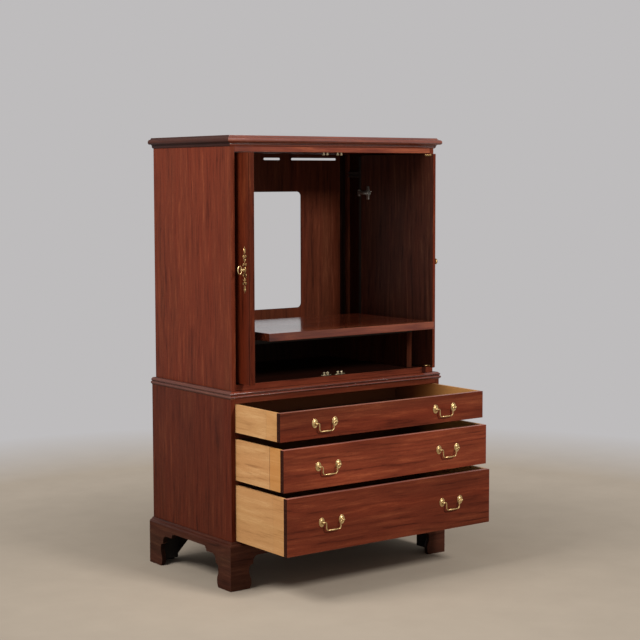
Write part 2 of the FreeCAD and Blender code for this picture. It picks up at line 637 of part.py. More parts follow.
def door_slab(word, front, right, handle_y, handle_z):
    slab = block(f"{word}_slab", (DOOR_INNER, front, DOOR_BOTTOM),
                 ("door_thick", "door_width", DOOR_HEIGHT))
    tools = [block(f"{word}_quirk", (f"{DOOR_OUTER} - quirk", f"{front} + quirk_inset", DOOR_BOTTOM),
                   ("quirk", "quirk", DOOR_HEIGHT))]
    for name, z in hinge_levels(word):
        tools.append(rod(f"{name}_bore", "cup_radius", "cup_deep",
                         (DOOR_INNER, f"{front} + door_width - hinge_back", z), axis=(1, 0, 0)))
    if right:
        tools[0] = block(f"{word}_rebate", (f"{DOOR_OUTER} - rebate_thick", front, DOOR_BOTTOM),
                         ("rebate_thick", "rebate_depth", DOOR_HEIGHT))
    else:
        tools.append(block(f"{word}_mortise", (DOOR_INNER, f"{handle_y} - lock_wide / 2 + 6",
                                               f"{handle_z} - lock_tall / 2"),
                           ("lock_deep", "lock_wide", "lock_tall")))
        tools.append(rod(f"{word}_keyway", "keyhole_radius", "door_thick",
                         (DOOR_INNER, handle_y, handle_z), axis=(1, 0, 0)))
    return cut(f"{word}_slab_cut", slab, fuse(f"{word}_slab_tools", tools))


def door_moulding(word, front):
    """Four lengths planted on the outer face as a frame."""
    y, z = f"({front} + moulding_inset)", f"({DOOR_BOTTOM} + moulding_inset)"
    wide, tall = "(door_width - 2 * moulding_inset)", f"({DOOR_HEIGHT} - 2 * moulding_inset)"
    strips = []
    for name, low in (("front", y), ("rear", f"{y} + {wide} - moulding_wide")):
        strips.append(block(f"{word}_{name}_strip", (DOOR_OUTER, low, z),
                            ("moulding_thick", "moulding_wide", tall)))
    for name, low in (("foot", z), ("head", f"{z} + {tall} - moulding_wide")):
        strips.append(block(f"{word}_{name}_strip", (DOOR_OUTER, f"{y} + moulding_wide", low),
                            ("moulding_thick", f"{wide} - 2 * moulding_wide", "moulding_wide")))
    return group(f"{word}_moulding_set", strips)


def door_carrier(word, rear):
    """The upright behind the door that its hinges hang from, with a glide in each track."""
    start = f"({rear} + carrier_gap)"
    bar = block(f"{word}_carrier_bar", (DOOR_INNER, start, f"{DOOR_BOTTOM} + carrier_inset"),
                ("door_thick", "carrier_deep", f"{DOOR_HEIGHT} - 2 * carrier_inset"))
    pieces = [bar]
    reach = f"{HALF_INSIDE} - track_thick + track_groove_deep - track_gap - {DOOR_OUTER}"
    for name, level in track_levels():
        groove = f"({level} + (track_tall - track_groove) / 2)"
        glide = block(f"{word}_{name}_glide", (DOOR_OUTER, start, f"{groove} + track_gap"),
                      (reach, "carrier_deep", "track_groove - 2 * track_gap"))
        pieces.append(glide)
    return fuse(f"{word}_carrier_body", pieces)


def hinge_levels(word):
    low = f"({DOOR_BOTTOM} + hinge_inset)"
    high = f"({DOOR_BOTTOM} + {DOOR_HEIGHT} - hinge_inset)"
    return ((f"{word}_lower_hinge", low), (f"{word}_upper_hinge", high))


def door_hinges(word, rear):
    """Concealed hinges: a cup and its wing plate in the door, an arm back to the carrier."""
    hinges = []
    centre = f"({rear} - hinge_back)"
    for name, z in hinge_levels(word):
        mouth = (DOOR_INNER, centre, z)
        cup = rod(f"{name}_cup", "cup_radius", "cup_deep", mouth, axis=(1, 0, 0))
        hollow = rod(f"{name}_hollow", "cup_radius - cup_wall", "cup_deep - cup_wall", mouth,
                     axis=(1, 0, 0))
        wing = block(f"{name}_wing",
                     (f"{DOOR_INNER} - hinge_plate", f"{centre} - hinge_wide / 2", f"{z} - hinge_tall / 2"),
                     ("hinge_plate", "hinge_wide", "hinge_tall"))
        reach = "hinge_plate + hinge_back + carrier_gap + carrier_deep"
        arm = block(f"{name}_arm", (f"{DOOR_INNER} - hinge_arm_thick", f"{centre} - hinge_plate",
                                    f"{z} - hinge_arm_wide / 2"),
                    ("hinge_arm_thick", reach, "hinge_arm_wide"))
        foot = block(f"{name}_foot",
                     (f"{DOOR_INNER} - hinge_plate", f"{rear} + carrier_gap", f"{z} - hinge_foot_tall / 2"),
                     ("hinge_plate", "carrier_deep", "hinge_foot_tall"))
        shell = cut(f"{name}_shell", cup, hollow)
        hinges.append(fuse(name, [shell, wing, arm, foot]))
    return group(f"{word}_hinge_pair", hinges)


def door_strikes(word, front):
    """A strike plate near the top and bottom of the inner face, each with its tongue."""
    strikes = []
    low = f"{UPPER_FLOOR} + catch_height"
    high = f"{FRIEZE_BOTTOM} + ceiling_step - catch_height"
    for name, z in ((f"{word}_lower_strike", low), (f"{word}_upper_strike", high)):
        plate = block(name + "_plate",
                      (f"{DOOR_INNER} - strike_plate", f"{front} + strike_edge", f"{z} - strike_tall / 2"),
                      ("strike_plate", "strike_long", "strike_tall"))
        middle = f"({front} + strike_edge + strike_long / 2)"
        tongue = block(name + "_tongue",
                       (f"{DOOR_INNER} - tongue_long", f"{middle} - tongue_thick / 2",
                        f"{z} - tongue_thick / 2"),
                       ("tongue_long", "tongue_thick", "tongue_thick"))
        strikes.append(fuse(name, [plate, tongue]))
    return group(f"{word}_strike_pair", strikes)


def door_plate(word, y, z):
    plate = prism(f"{word}_plate", "YZ_Plane", [plate_outline()], "escutcheon_thick")
    place(plate, DOOR_OUTER, y, z)
    hole = rod(f"{word}_plate_hole", "keyhole_radius", "escutcheon_thick", (DOOR_OUTER, y, z),
               axis=(1, 0, 0))
    return cut(f"{word}_plate_cut", plate, hole)


def door_knob(word, y, z):
    start = f"{DOOR_OUTER} + escutcheon_thick"
    neck = rod(f"{word}_knob_neck", "knob_neck", "knob_reach / 2", (start, y, z), axis=(1, 0, 0))
    head = bind(doc.addObject("Part::Ellipsoid", f"{word}_knob_head"),
                Radius1="knob_radius", Radius2="knob_reach / 3", Radius3="knob_radius")
    place(head, f"{start} + knob_reach * 2 / 3", y, z)
    return fuse(f"{word}_knob", [neck, head])


def door_lock(word, y, z):
    case = block(f"{word}_lock_case", (DOOR_INNER, f"{y} - lock_wide / 2 + 6", f"{z} - lock_tall / 2"),
                 ("lock_deep", "lock_wide", "lock_tall"))
    way = rod(f"{word}_lock_way", "keyhole_radius", "lock_deep", (DOOR_INNER, y, z), axis=(1, 0, 0))
    return cut(f"{word}_lock_body", case, way)


def door_key(word, y, z):
    """A key whose oval bow stands out from the plate."""
    start = f"({DOOR_INNER} + lock_deep / 2)"
    stem_end = f"({DOOR_OUTER} + escutcheon_thick + key_stem)"
    bow_x = f"({stem_end} + bow_radius - bow_edge)"
    stem = rod(f"{word}_key_stem", "key_radius", f"{stem_end} - {start}", (start, y, z), axis=(1, 0, 0))
    collar = rod(f"{word}_key_collar", "key_collar", "key_collar_long",
                 (f"{DOOR_OUTER} + escutcheon_thick + track_gap", y, z), axis=(1, 0, 0))
    bow = prism(f"{word}_key_bow", "XZ_Plane", [
        slot_outline("2 * bow_radius", "2 * bow_radius + bow_straight", "bow_radius * 0.99"),
        slot_outline("2 * bow_hole", "2 * bow_hole + bow_straight", "bow_hole * 0.99"),
    ], "bow_thick")
    place(bow, bow_x, f"{y} - bow_thick / 2", z)
    return fuse(f"{word}_key_body", [stem, collar, bow])


# ---------------------------------------------------------------- drawers

def rosette_template():
    """An oval domed plate with a post that ends in a ball, drilled across for the bail."""
    dome = bind(doc.addObject("Part::Ellipsoid", "rosette_dome"),
                Radius1="rosette_tall / 2", Radius2="rosette_wide / 2", Radius3="rosette_dome")
    dome.Angle1, dome.Angle2, dome.Angle3 = -90, 90, 360
    half = block("rosette_half", ("-rosette_wide", "-2 * rosette_dome", "-rosette_tall"),
                 ("2 * rosette_wide", "2 * rosette_dome", "2 * rosette_tall"))
    cap = common("rosette_cap", [dome, half])
    post = rod("rosette_post", "post_radius", "pull_reach", ("0", "0", "0"), axis=(0, -1, 0))
    ball = bind(doc.addObject("Part::Sphere", "rosette_ball"), Radius="ball_radius")
    place(ball, "0", "-pull_reach", "0")
    body = fuse("rosette_body", [cap, post, ball])
    eye = rod("rosette_eye", "bail_wire + eye_gap", "4 * ball_radius",
              ("-2 * ball_radius", "-pull_reach", "0"), axis=(1, 0, 0))
    return cut("rosette_unit", body, eye)


def bail_template():
    """The swinging handle: pins in at both ends, two legs and a thicker grip."""
    half = [
        (f"-{BAIL_END}", "0"), (f"-({BAIL_LEG} + bail_shoulder)", "0", "bail_shoulder", -1),
        (f"-{BAIL_LEG}", "-bail_shoulder"), (f"-{BAIL_LEG}", "bail_corner - bail_drop", "bail_corner", 1),
        (f"bail_corner - {BAIL_LEG}", "-bail_drop"),
    ]
    back = [(f"-({p[0]})", p[1]) for p in reversed(half)]
    back[0] = back[0] + ("bail_corner", 1)
    back[2] = back[2] + ("bail_shoulder", -1)
    body = doc.addObject("PartDesign::Body", "bail_path")
    path = new_sketch(body, "XZ_Plane")
    outline(path, half + back, closed=False)
    ring = bind(doc.addObject("Part::Circle", "bail_ring"), Radius="bail_wire")
    turn(ring, (0, 1, 0), 90)
    place(ring, f"-{BAIL_END}", "0", "0")
    wire = doc.addObject("Part::Sweep", "bail_wire_bar")
    wire.Sections = [ring]
    wire.Spine = (path, [f"Edge{i + 1}" for i in range(len(half + back) - 1)])
    wire.Solid = True
    thick = rod("bail_thick", "bail_swell", "bail_swell_long", ("-bail_swell_long / 2", "0", "-bail_drop"),
                axis=(1, 0, 0))
    pieces = [wire, thick]
    for step, end in ((-1, "left"), (1, "right")):
        taper = bind(doc.addObject("Part::Cone", f"bail_{end}_taper"), Radius1="bail_swell",
                     Radius2="bail_wire", Height="bail_taper")
        turn(taper, (0, 1, 0), 90 * step)
        pieces.append(place(taper, f"{step} * bail_swell_long / 2", "0", "-bail_drop"))
    return fuse("bail_unit", pieces)


def tails(name, side, count, front, bottom, height):
    """The dovetails on one drawer side, wider at the end that is lapped by the front."""
    pitch = f"({height} / {count})"
    inner = f"({HALF_DRAWER} - drawer_wall)"
    low, high = (inner, HALF_DRAWER) if side > 0 else (f"-{HALF_DRAWER}", f"-{inner}")
    cuts = []
    for step in range(count):
        middle = f"({bottom} + {pitch} * {step + 0.5})"
        tail = doc.addObject("Part::Wedge", f"{name}_tail_{step + 1}")
        cuts.append(bind(
            tail, Xmin=low, Xmax=high, X2min=low, X2max=high,
            Ymin=f"{front} + drawer_lap", Ymax=f"{front} + drawer_front_thick",
            Zmin=f"{middle} - {pitch} * 0.38", Zmax=f"{middle} + {pitch} * 0.38",
            Z2min=f"{middle} - {pitch} * 0.27", Z2max=f"{middle} + {pitch} * 0.27"))
    return cuts


def drawer(name, bottom, height, out, count, rosette, bail):
    front = f"(front_plane - {out})"
    inner = f"({HALF_DRAWER} - drawer_wall)"
    wall_start = f"({front} + drawer_front_thick)"
    groove_half = f"({inner} + drawer_groove)"
    groove_z = f"({bottom} + drawer_floor_rise)"
    floor = block(name + "_floor", (f"-{groove_half}", f"{wall_start} - drawer_groove", groove_z),
                  (f"2 * {groove_half}", "drawer_depth - drawer_front_thick + drawer_groove",
                   "drawer_floor_thick"))
    walls, all_tails = [], []
    for side, word in ((-1, "left"), (1, "right")):
        cuts = tails(f"{name}_{word}", side, count, front, bottom, height)
        all_tails += cuts
        board = side_block(f"{name}_{word}_board", side, inner, HALF_DRAWER, wall_start, bottom,
                           "drawer_depth - drawer_front_thick", height)
        walls.append(cut(f"{name}_{word}_wall", fuse(f"{name}_{word}_tailed", [board] + cuts), floor))
    slab = block(name + "_slab", (f"-{HALF_DRAWER}", front, bottom),
                 (f"2 * {HALF_DRAWER}", "drawer_front_thick", height))
    sockets = fuse(name + "_sockets", all_tails + [floor])
    node(name + "_drawer_front", cut(name + "_front_cut", slab, sockets))
    above = "drawer_floor_rise + drawer_floor_thick"
    walls.append(block(name + "_back", (f"-{inner}", f"{front} + drawer_depth - drawer_wall",
                                        f"{bottom} + {above}"),
                       (f"2 * {inner}", "drawer_wall", f"{height} - ({above})")))
    node(name + "_drawer_box", group(name + "_box_set", walls))
    node(name + "_drawer_floor", floor)
    level = f"{bottom} + {height} / 2 + pull_rise"
    plates = []
    for side, word in ((-1, "left"), (1, "right")):
        for step, end in ((-1, "a"), (1, "b")):
            plates.append(copy_at(f"{name}_{word}_rosette_{end}", rosette,
                                  f"{side} * pull_centre + {step} * pull_spacing / 2", front, level))
        node(f"{name}_{word}_bail", copy_at(f"{name}_{word}_handle", bail, f"{side} * pull_centre",
                                            f"{front} - pull_reach", level))
    node(name + "_drawer_rosettes", group(name + "_rosette_set", plates))


def drawers():
    rosette, bail = rosette_template(), bail_template()
    drawer("top", TOP_DRAWER, "top_drawer_height", "top_drawer_out", 3, rosette, bail)
    drawer("middle", MIDDLE_DRAWER, "middle_drawer_height", "middle_drawer_out", 4, rosette, bail)
    drawer("bottom", BOTTOM_DRAWER, "bottom_drawer_height", "bottom_drawer_out", 5, rosette, bail)


# ---------------------------------------------------------------- the whole

base()
base_inside()
lower_case()
waist()
upper_case()
upper_back()
cornice()
video_bay()
platform_slides()
platform()
door_tracks()
ball_catches()
door_parts("left", "left_door_out", right=False)
door_parts("right", "right_door_out", right=True)
drawers()

doc.recompute()
for item in doc.Objects:
    if "Invalid" in item.State or "Error" in item.State:
        raise RuntimeError(f"{item.Name} failed: {item.State}")
for name, item in nodes.items():
    if item.Shape.isNull() or not item.Shape.isValid() or not item.Shape.Solids:
        raise RuntimeError(f"{name} has no sound solid")
    item.Shape.exportStep(f"parts/{name}.step")

whole = FreeCAD.BoundBox()
for item in nodes.values():
    whole.add(item.Shape.BoundBox)
print(f"{len(nodes)} nodes, {sum(len(item.Shape.Solids) for item in nodes.values())} solids")
print(f"size {whole.XLength:.1f} x {whole.YLength:.1f} x {whole.ZLength:.1f} mm")
print(f"y from {whole.YMin:.2f} to {whole.YMax:.2f}")
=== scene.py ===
import json
import math

import bmesh
import bpy
from mathutils import Matrix, Vector

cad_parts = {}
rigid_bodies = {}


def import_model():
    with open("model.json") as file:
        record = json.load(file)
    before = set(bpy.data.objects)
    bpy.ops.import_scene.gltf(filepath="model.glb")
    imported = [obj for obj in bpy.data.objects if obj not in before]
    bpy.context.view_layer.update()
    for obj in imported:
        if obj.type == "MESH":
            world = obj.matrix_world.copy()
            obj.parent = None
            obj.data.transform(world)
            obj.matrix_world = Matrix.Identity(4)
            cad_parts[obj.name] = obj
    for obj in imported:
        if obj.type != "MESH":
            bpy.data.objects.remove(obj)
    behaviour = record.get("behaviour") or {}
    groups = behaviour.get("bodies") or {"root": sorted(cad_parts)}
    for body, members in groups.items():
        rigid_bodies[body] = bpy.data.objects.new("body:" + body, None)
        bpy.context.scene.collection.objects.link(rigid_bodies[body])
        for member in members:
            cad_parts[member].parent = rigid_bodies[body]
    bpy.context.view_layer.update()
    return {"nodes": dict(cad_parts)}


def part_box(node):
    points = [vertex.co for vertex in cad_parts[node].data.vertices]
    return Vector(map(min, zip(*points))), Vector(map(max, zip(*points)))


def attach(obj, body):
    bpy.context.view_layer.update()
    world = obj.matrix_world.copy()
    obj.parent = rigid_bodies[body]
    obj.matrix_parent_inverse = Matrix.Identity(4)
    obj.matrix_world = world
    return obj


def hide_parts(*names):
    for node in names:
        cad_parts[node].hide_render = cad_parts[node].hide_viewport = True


# Looks of the TV armoire: red-brown mahogany case and drawer fronts, maple drawer sides, brass
# furniture, on a pale floor in soft studio light. Metres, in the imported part's own frame: X to the
# right, Y to the back and Z up from the floor.

for leftover in list(bpy.data.objects):
    bpy.data.objects.remove(leftover)

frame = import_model()
NODES = frame["nodes"]
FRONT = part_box("lower_left_side")[0].y
HALF_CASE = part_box("lower_right_side")[1].x
HALF_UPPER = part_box("upper_right_side")[1].x
UPPER_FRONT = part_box("upper_left_side")[0].y


# ---------------------------------------------------------------- shader helpers

MASK_SAMPLES = 4    # rays per corner or edge mask; they are soft, so few will do


class Shader:
    """The node tree of a material or world, node by node; an input takes a number, colour or socket."""

    def __init__(self, owner, output="ShaderNodeOutputMaterial"):
        self.owner = owner
        owner.use_nodes = True
        self.tree = owner.node_tree
        self.tree.nodes.clear()
        self.output = self.add(output)

    def add(self, kind, inputs=None, **settings):
        made = self.tree.nodes.new(kind)
        for key, value in settings.items():
            setattr(made, key, value)
        for key, value in (inputs or {}).items():
            self.feed(made.inputs[key], value)
        return made

    def feed(self, socket, value):
        if isinstance(value, bpy.types.NodeSocket):
            self.tree.links.new(value, socket)
        else:
            socket.default_value = value

    def place(self):
        """The point on the piece; on a CAD node it is in metres in the part's own frame at rest."""
        return self.add("ShaderNodeTexCoord").outputs["Object"]

    def parts(self, vector):
        return self.add("ShaderNodeSeparateXYZ", {0: vector}).outputs

    def math(self, operation, a, b=0.5, c=0.5, clamp=False):
        made = self.add("ShaderNodeMath", {0: a, 1: b, 2: c}, operation=operation, use_clamp=clamp)
        return made.outputs[0]

    def times(self, a, b):
        return self.math("MULTIPLY", a, b)

    def times_plus(self, a, b, c):
        """a * b + c"""
        return self.math("MULTIPLY_ADD", a, b, c)

    def scaled(self, vector, factors, shift=(0, 0, 0)):
        inputs = {0: vector, 1: factors, 2: shift}
        return self.add("ShaderNodeVectorMath", inputs, operation="MULTIPLY_ADD").outputs[0]

    def noise(self, vector, scale, detail, rough, distortion=0.0):
        made = self.add("ShaderNodeTexNoise", {
            "Vector": vector, "Scale": scale, "Detail": detail, "Roughness": rough,
            "Distortion": distortion})
        return made.outputs["Fac"]

    def ramp(self, value, stops):
        made = self.add("ShaderNodeValToRGB", {"Fac": value})
        made.color_ramp.interpolation = "EASE"
        while len(made.color_ramp.elements) < len(stops):
            made.color_ramp.elements.new(0.5)
        for element, (place, colour) in zip(made.color_ramp.elements, stops):
            element.position = place
            element.color = (*colour, 1)
        return made.outputs["Color"]

    def remap(self, value, low, high, to_low=0.0, to_high=1.0):
        made = self.add("ShaderNodeMapRange", {
            "Value": value, "From Min": low, "From Max": high, "To Min": to_low, "To Max": to_high})
        return made.outputs[0]

    def mix(self, factor, a, b, blend="MIX"):
        made = self.add("ShaderNodeMix", data_type="RGBA", blend_type=blend)
        self.feed(made.inputs["Factor"], factor)
        for key, value in ((6, a), (7, b)):
            if isinstance(value, tuple) and len(value) == 3:
                value = (*value, 1)
            self.feed(made.inputs[key], value)
        return made.outputs[2]

    def tinted(self, colour, tint):
        return self.mix(1.0, colour, tint, "MULTIPLY")

    def grey(self, value):
        """A number as a colour or vector of three equal parts."""
        return self.add("ShaderNodeCombineXYZ", {axis: value for axis in "XYZ"}).outputs[0]

    def bump(self, height, distance, strength):
        inputs = {"Height": height, "Distance": distance, "Strength": strength}
        return self.add("ShaderNodeBump", inputs).outputs["Normal"]

    def openness(self, distance):
        """1 on open ground, down to 0 deep in a corner."""
        inputs = {"Distance": distance}
        return self.add("ShaderNodeAmbientOcclusion", inputs, samples=MASK_SAMPLES).outputs["AO"]

    def edge_mask(self, radius, gain):
        """Near 1 within a radius of a sharp edge and 0 on flat ground."""
        rounded = self.add("ShaderNodeBevel", {"Radius": radius}, samples=MASK_SAMPLES).outputs["Normal"]
        flat = self.add("ShaderNodeNewGeometry").outputs["True Normal"]
        both = self.add("ShaderNodeVectorMath", {0: rounded, 1: flat}, operation="DOT_PRODUCT")
        lean = self.math("SUBTRACT", 1.0, both.outputs["Value"], clamp=True)
        return self.math("MULTIPLY", lean, gain, clamp=True)

    def blend(self, factor, first, second):
        return self.add("ShaderNodeMixShader", {0: factor, 1: first.outputs[0], 2: second.outputs[0]})

    def finish(self, surface):
        """Links the last node to the output and returns the material or world."""
        self.tree.links.new(surface.outputs[0], self.output.inputs["Surface"])
        return self.owner

    def principled(self, **inputs):
        made = self.add("ShaderNodeBsdfPrincipled")
        for key, value in inputs.items():
            self.feed(made.inputs[key.replace("_", " ")], value)
        return self.finish(made)


def material_shader(name):
    return Shader(bpy.data.materials.new(name))


# ---------------------------------------------------------------- wood

# Each timber has three tones of its figure, the colour of its pores and that of its worn edges.
MAHOGANY = {
    "dark": (0.046, 0.0082, 0.0040), "mid": (0.124, 0.0240, 0.0106), "light": (0.215, 0.0530, 0.0220),
    "pore": (0.018, 0.0045, 0.0028), "worn": (0.26, 0.095, 0.056),
}
# The doors' mahogany, redder and more saturated than MAHOGANY: the extra red is painted bounce light from
# the door pockets.
DOOR_RED = {
    "dark": (0.042, 0.0062, 0.0026), "mid": (0.120, 0.0190, 0.0070), "light": (0.220, 0.0440, 0.0150),
    "pore": (0.018, 0.0040, 0.0022), "worn": (0.26, 0.090, 0.050),
}
DARK_PANEL = {
    "dark": (0.040, 0.0094, 0.0046), "mid": (0.086, 0.0205, 0.0090), "light": (0.140, 0.0380, 0.0175),
    "pore": (0.014, 0.0045, 0.0028), "worn": (0.16, 0.07, 0.045),
}
BASE_BROWN = {
    "dark": (0.022, 0.0062, 0.0038), "mid": (0.053, 0.0160, 0.0092), "light": (0.092, 0.0330, 0.0180),
    "pore": (0.012, 0.0042, 0.0028), "worn": (0.16, 0.075, 0.048),
}
CHARCOAL = {
    "dark": (0.012, 0.0092, 0.0084), "mid": (0.024, 0.0180, 0.0155), "light": (0.042, 0.0310, 0.0260),
    "pore": (0.007, 0.0052, 0.0045), "worn": (0.08, 0.06, 0.05),
}
SECONDARY = {
    "dark": (0.090, 0.0400, 0.0200), "mid": (0.180, 0.0850, 0.0430), "light": (0.270, 0.1400, 0.0720),
    "pore": (0.050, 0.0220, 0.0110), "worn": (0.34, 0.20, 0.12),
}
MAPLE = {
    "dark": (0.390, 0.1900, 0.0720), "mid": (0.540, 0.2830, 0.1160), "light": (0.640, 0.3700, 0.1660),
    "pore": (0.340, 0.1600, 0.0660), "worn": (0.72, 0.48, 0.26),
}
# The place is scaled by these first, which draws the noises out along the grain.
ALONG = {"x": (0.060, 1, 1), "y": (1, 0.060, 1), "z": (1, 1, 0.070)}
SEED_STEP = (1.37, 2.11, 0.73)

# The noises of a timber: scale, detail and roughness. The scale of BROAD is the wood's ring_scale.
RIBBON, BROAD, STREAK, FIBRE = (62.0, 3.0, 0.55), (1.0, 0.4), (190.0, 2.0, 0.5), (620.0, 3.0, 0.6)
BELT, PATCH, CLOUD, PORES = (13.0, 2.0, 0.5), (11.0, 2.0, 0.5), (9.0, 2.0, 0.5), (1500.0, 1.0, 0.5)
SWAY, SCUFFS, FILM = (3.0, 1.0, 0.5), (37.0, 4.0, 0.6), (9.0, 3.0, 0.6)
SWAY_REACH = 0.03
RING_COUNT, RING_SHARPNESS = 13.0, 2.6
STREAK_SHARE, FIBRE_SHARE, MIDDLE_TONE = 0.18, 0.12, 0.47
REDDER, GREYER = (1.14, 0.90, 0.82), (0.90, 1.16, 1.10)
CORNER_REACH, EDGE_RADIUS = 0.016, 0.0022

# A drawer box: its colours, and where the dark stain and the gold end behind the face of its front.
STAIN = (0.030, 0.0052, 0.0024)
GOLD = (0.54, 0.215, 0.040)
GOLD_LINE = (0.100, 0.034, 0.012)
MINERAL = (0.16, 0.070, 0.024)
# painted light: the next colour warms a box's inner faces in place of bounce light, and the one after
# darkens them toward the back as painted shade
INNER_BOUNCE = (0.70, 0.340, 0.105)
REAR_SHADE = (0.200, 0.0760, 0.0360)
STAIN_END, GOLD_END = 0.0200, 0.0920
SIDE_THICK = 0.0118     # just less than the wall of a drawer box

BRAD_HEAD = (0.22, 0.17, 0.13)
BRAD_PITCH, BRAD_INSET = 0.11, 0.011


def grain_vector(shader, place, grain, seed, split):
    """The place drawn out along the grain. split=(half, front) turns the grain from X on the front run of
    a moulding to Y past its 45 degree mitres; the second value is then 1 past them."""
    shift = tuple(seed * step for step in SEED_STEP)
    vector = shader.scaled(place, ALONG[grain], shift)
    if split is None:
        return vector, None
    half, front = split
    parts = shader.parts(place)
    reach = shader.math("ADD", shader.math("ABSOLUTE", parts["X"]), parts["Y"])
    past = shader.math("GREATER_THAN", reach, half + front)
    side = shader.scaled(place, ALONG["y"], shift)
    joined = shader.add("ShaderNodeMix", data_type="VECTOR")
    shader.feed(joined.inputs["Factor"], past)
    shader.feed(joined.inputs[4], vector)
    shader.feed(joined.inputs[5], side)
    return joined.outputs[1], past


def drawer_finish(shader, place, colour, front, half, band):
    """A drawer box's colouring: dark over the dovetails, a golden band behind them that ends in a dark
    wavy line, and mineral streaks; then painted light on the inner faces: a warmer tone for bounce
    light, going dark brown toward the back as painted shade."""
    parts = shader.parts(place)
    across, along = parts["X"], parts["Y"]
    wave = shader.noise(place, 34.0, 3.0, 0.6)
    depth = shader.times_plus(wave, 0.008, along)
    mineral = shader.noise(shader.scaled(place, (1, 0.10, 1), (front * 30, 0, 0)), 62.0, 3.0, 0.62)
    colour = shader.mix(shader.remap(mineral, 0.63, 0.80, 0.0, 0.45), colour, MINERAL)
    golden = shader.remap(depth, front + GOLD_END - 0.004, front + GOLD_END + 0.002, band, 0.0)
    colour = shader.mix(golden, colour, GOLD)
    off_line = shader.math("ABSOLUTE", shader.math("SUBTRACT", depth, front + GOLD_END))
    line = shader.remap(off_line, 0.0006, 0.0022, min(0.8, band * 1.4), 0.0)
    colour = shader.mix(line, colour, GOLD_LINE)
    # painted light on the inner faces: a warm tint for bounce light, then painted shade toward the back
    inner = shader.math("LESS_THAN", shader.math("ABSOLUTE", across), half - SIDE_THICK)
    colour = shader.mix(shader.times(inner, 0.8), colour, INNER_BOUNCE)
    rear = shader.remap(along, front + 0.27, front + 0.42, 0.0, 0.94)
    colour = shader.mix(shader.times(inner, rear), colour, REAR_SHADE)
    stain = shader.remap(along, front + STAIN_END, front + STAIN_END + 0.0004, 1.0, 0.0)
    return shader.mix(stain, colour, STAIN)


def face_shade(shader, colour, place, grain, ends, tops, zones):
    """Darker end grain, and painted light or shade: faces that look up tinted by tops, and zones each
    tinted by its own tint. A zone (axis, low, high, tint, ahead) lies between two distances from the
    origin along an axis; ahead keeps it to faces looking ahead."""
    normal = shader.parts(shader.add("ShaderNodeTexCoord").outputs["Normal"])
    end = shader.math("ABSOLUTE", normal[grain.upper()])
    colour = shader.tinted(colour, shader.grey(shader.remap(end, 0.45, 0.80, 1.0, ends)))
    if tops is not None:
        upward = shader.remap(normal["Z"], 0.6, 0.9)
        colour = shader.mix(upward, colour, shader.tinted(colour, tops))
    parts = shader.parts(place)
    for axis, low, high, tint, ahead in zones:
        away = shader.math("ABSOLUTE", parts[axis])
        beyond = shader.math("GREATER_THAN", away, low)
        within = shader.times(beyond, shader.math("LESS_THAN", away, high))
        if ahead:
            within = shader.times(within, shader.math("LESS_THAN", normal["Y"], -0.5))
        colour = shader.mix(within, colour, shader.tinted(colour, tint))
    return colour


def brad_dots(shader, place, colour, half, low, high):
    """Small nail heads in a row just inside the edge of a back panel."""
    parts = shader.parts(place)
    across = shader.math("ABSOLUTE", parts["X"])
    up = shader.math("ABSOLUTE", shader.math("SUBTRACT", parts["Z"], (low + high) / 2))
    rows = []
    for along, apart, edge in ((up, across, half), (across, up, (high - low) / 2)):
        step = shader.math("PINGPONG", along, BRAD_PITCH / 2)
        step = shader.math("SUBTRACT", step, BRAD_PITCH / 4)
        flat = shader.math("SUBTRACT", apart, edge - BRAD_INSET)
        squares = shader.times_plus(step, step, shader.times(flat, flat))
        rows.append(shader.remap(shader.math("SQRT", squares), 0.0018, 0.0024, 1.0, 0.0))
    dots = shader.math("MAXIMUM", *rows)
    return shader.mix(dots, colour, BRAD_HEAD), dots


def timber_tone(shader, vector, wavy, seed, figure, rings, ring_scale, bands):
    """How light the timber is, from its ribbons, ring lines, streaks, fibres and broad belts; and the
    fibres alone."""
    ribbon = shader.noise(wavy, *RIBBON)
    broad = shader.noise(wavy, ring_scale, *BROAD)
    contour = shader.math("PINGPONG", shader.times(broad, RING_COUNT), 0.5)
    ring = shader.math("POWER", shader.times(contour, 2.0), RING_SHARPNESS)
    fibre = shader.noise(vector, *FIBRE)
    streak = shader.noise(vector, *STREAK)
    tone = shader.times(shader.remap(ribbon, 0.30, 0.70), figure)
    tone = shader.times_plus(shader.math("SUBTRACT", 1.0, ring), rings, tone)
    tone = shader.times_plus(shader.remap(streak, 0.35, 0.65), STREAK_SHARE, tone)
    tone = shader.times_plus(shader.remap(fibre, 0.35, 0.65), FIBRE_SHARE, tone)
    whole = figure + rings + STREAK_SHARE + FIBRE_SHARE
    tone = shader.math("ADD", tone, MIDDLE_TONE - whole / 2)
    if bands:
        belt = shader.noise(shader.scaled(wavy, (0.8, 0.8, 0.8), (seed, seed, seed)), *BELT)
        tone = shader.times_plus(shader.remap(belt, 0.34, 0.66, -0.55, 0.35), bands, tone)
    return tone, fibre


def timber_colour(shader, tone, vector, wavy, tones, seed, hue, clouds):
    """The colour of the tone, with a slow drift of hue and with dark clouds along X."""
    colour = shader.ramp(tone, ((0.08, tones["dark"]), (0.48, tones["mid"]), (0.92, tones["light"])))
    patch = shader.noise(shader.scaled(wavy, (1, 1, 1), (seed, 5, 7)), *PATCH)
    turn = shader.ramp(patch, ((0.30, REDDER), (0.50, (1, 1, 1)), (0.70, GREYER)))
    colour = shader.mix(hue, colour, shader.tinted(colour, turn))
    if clouds:
        cloud = shader.noise(shader.scaled(vector, (5, 1, 1), (seed, 2, 9)), *CLOUD)
        colour = shader.mix(shader.remap(cloud, 0.40, 0.66, 0.0, clouds), colour, tones["dark"])
    return colour


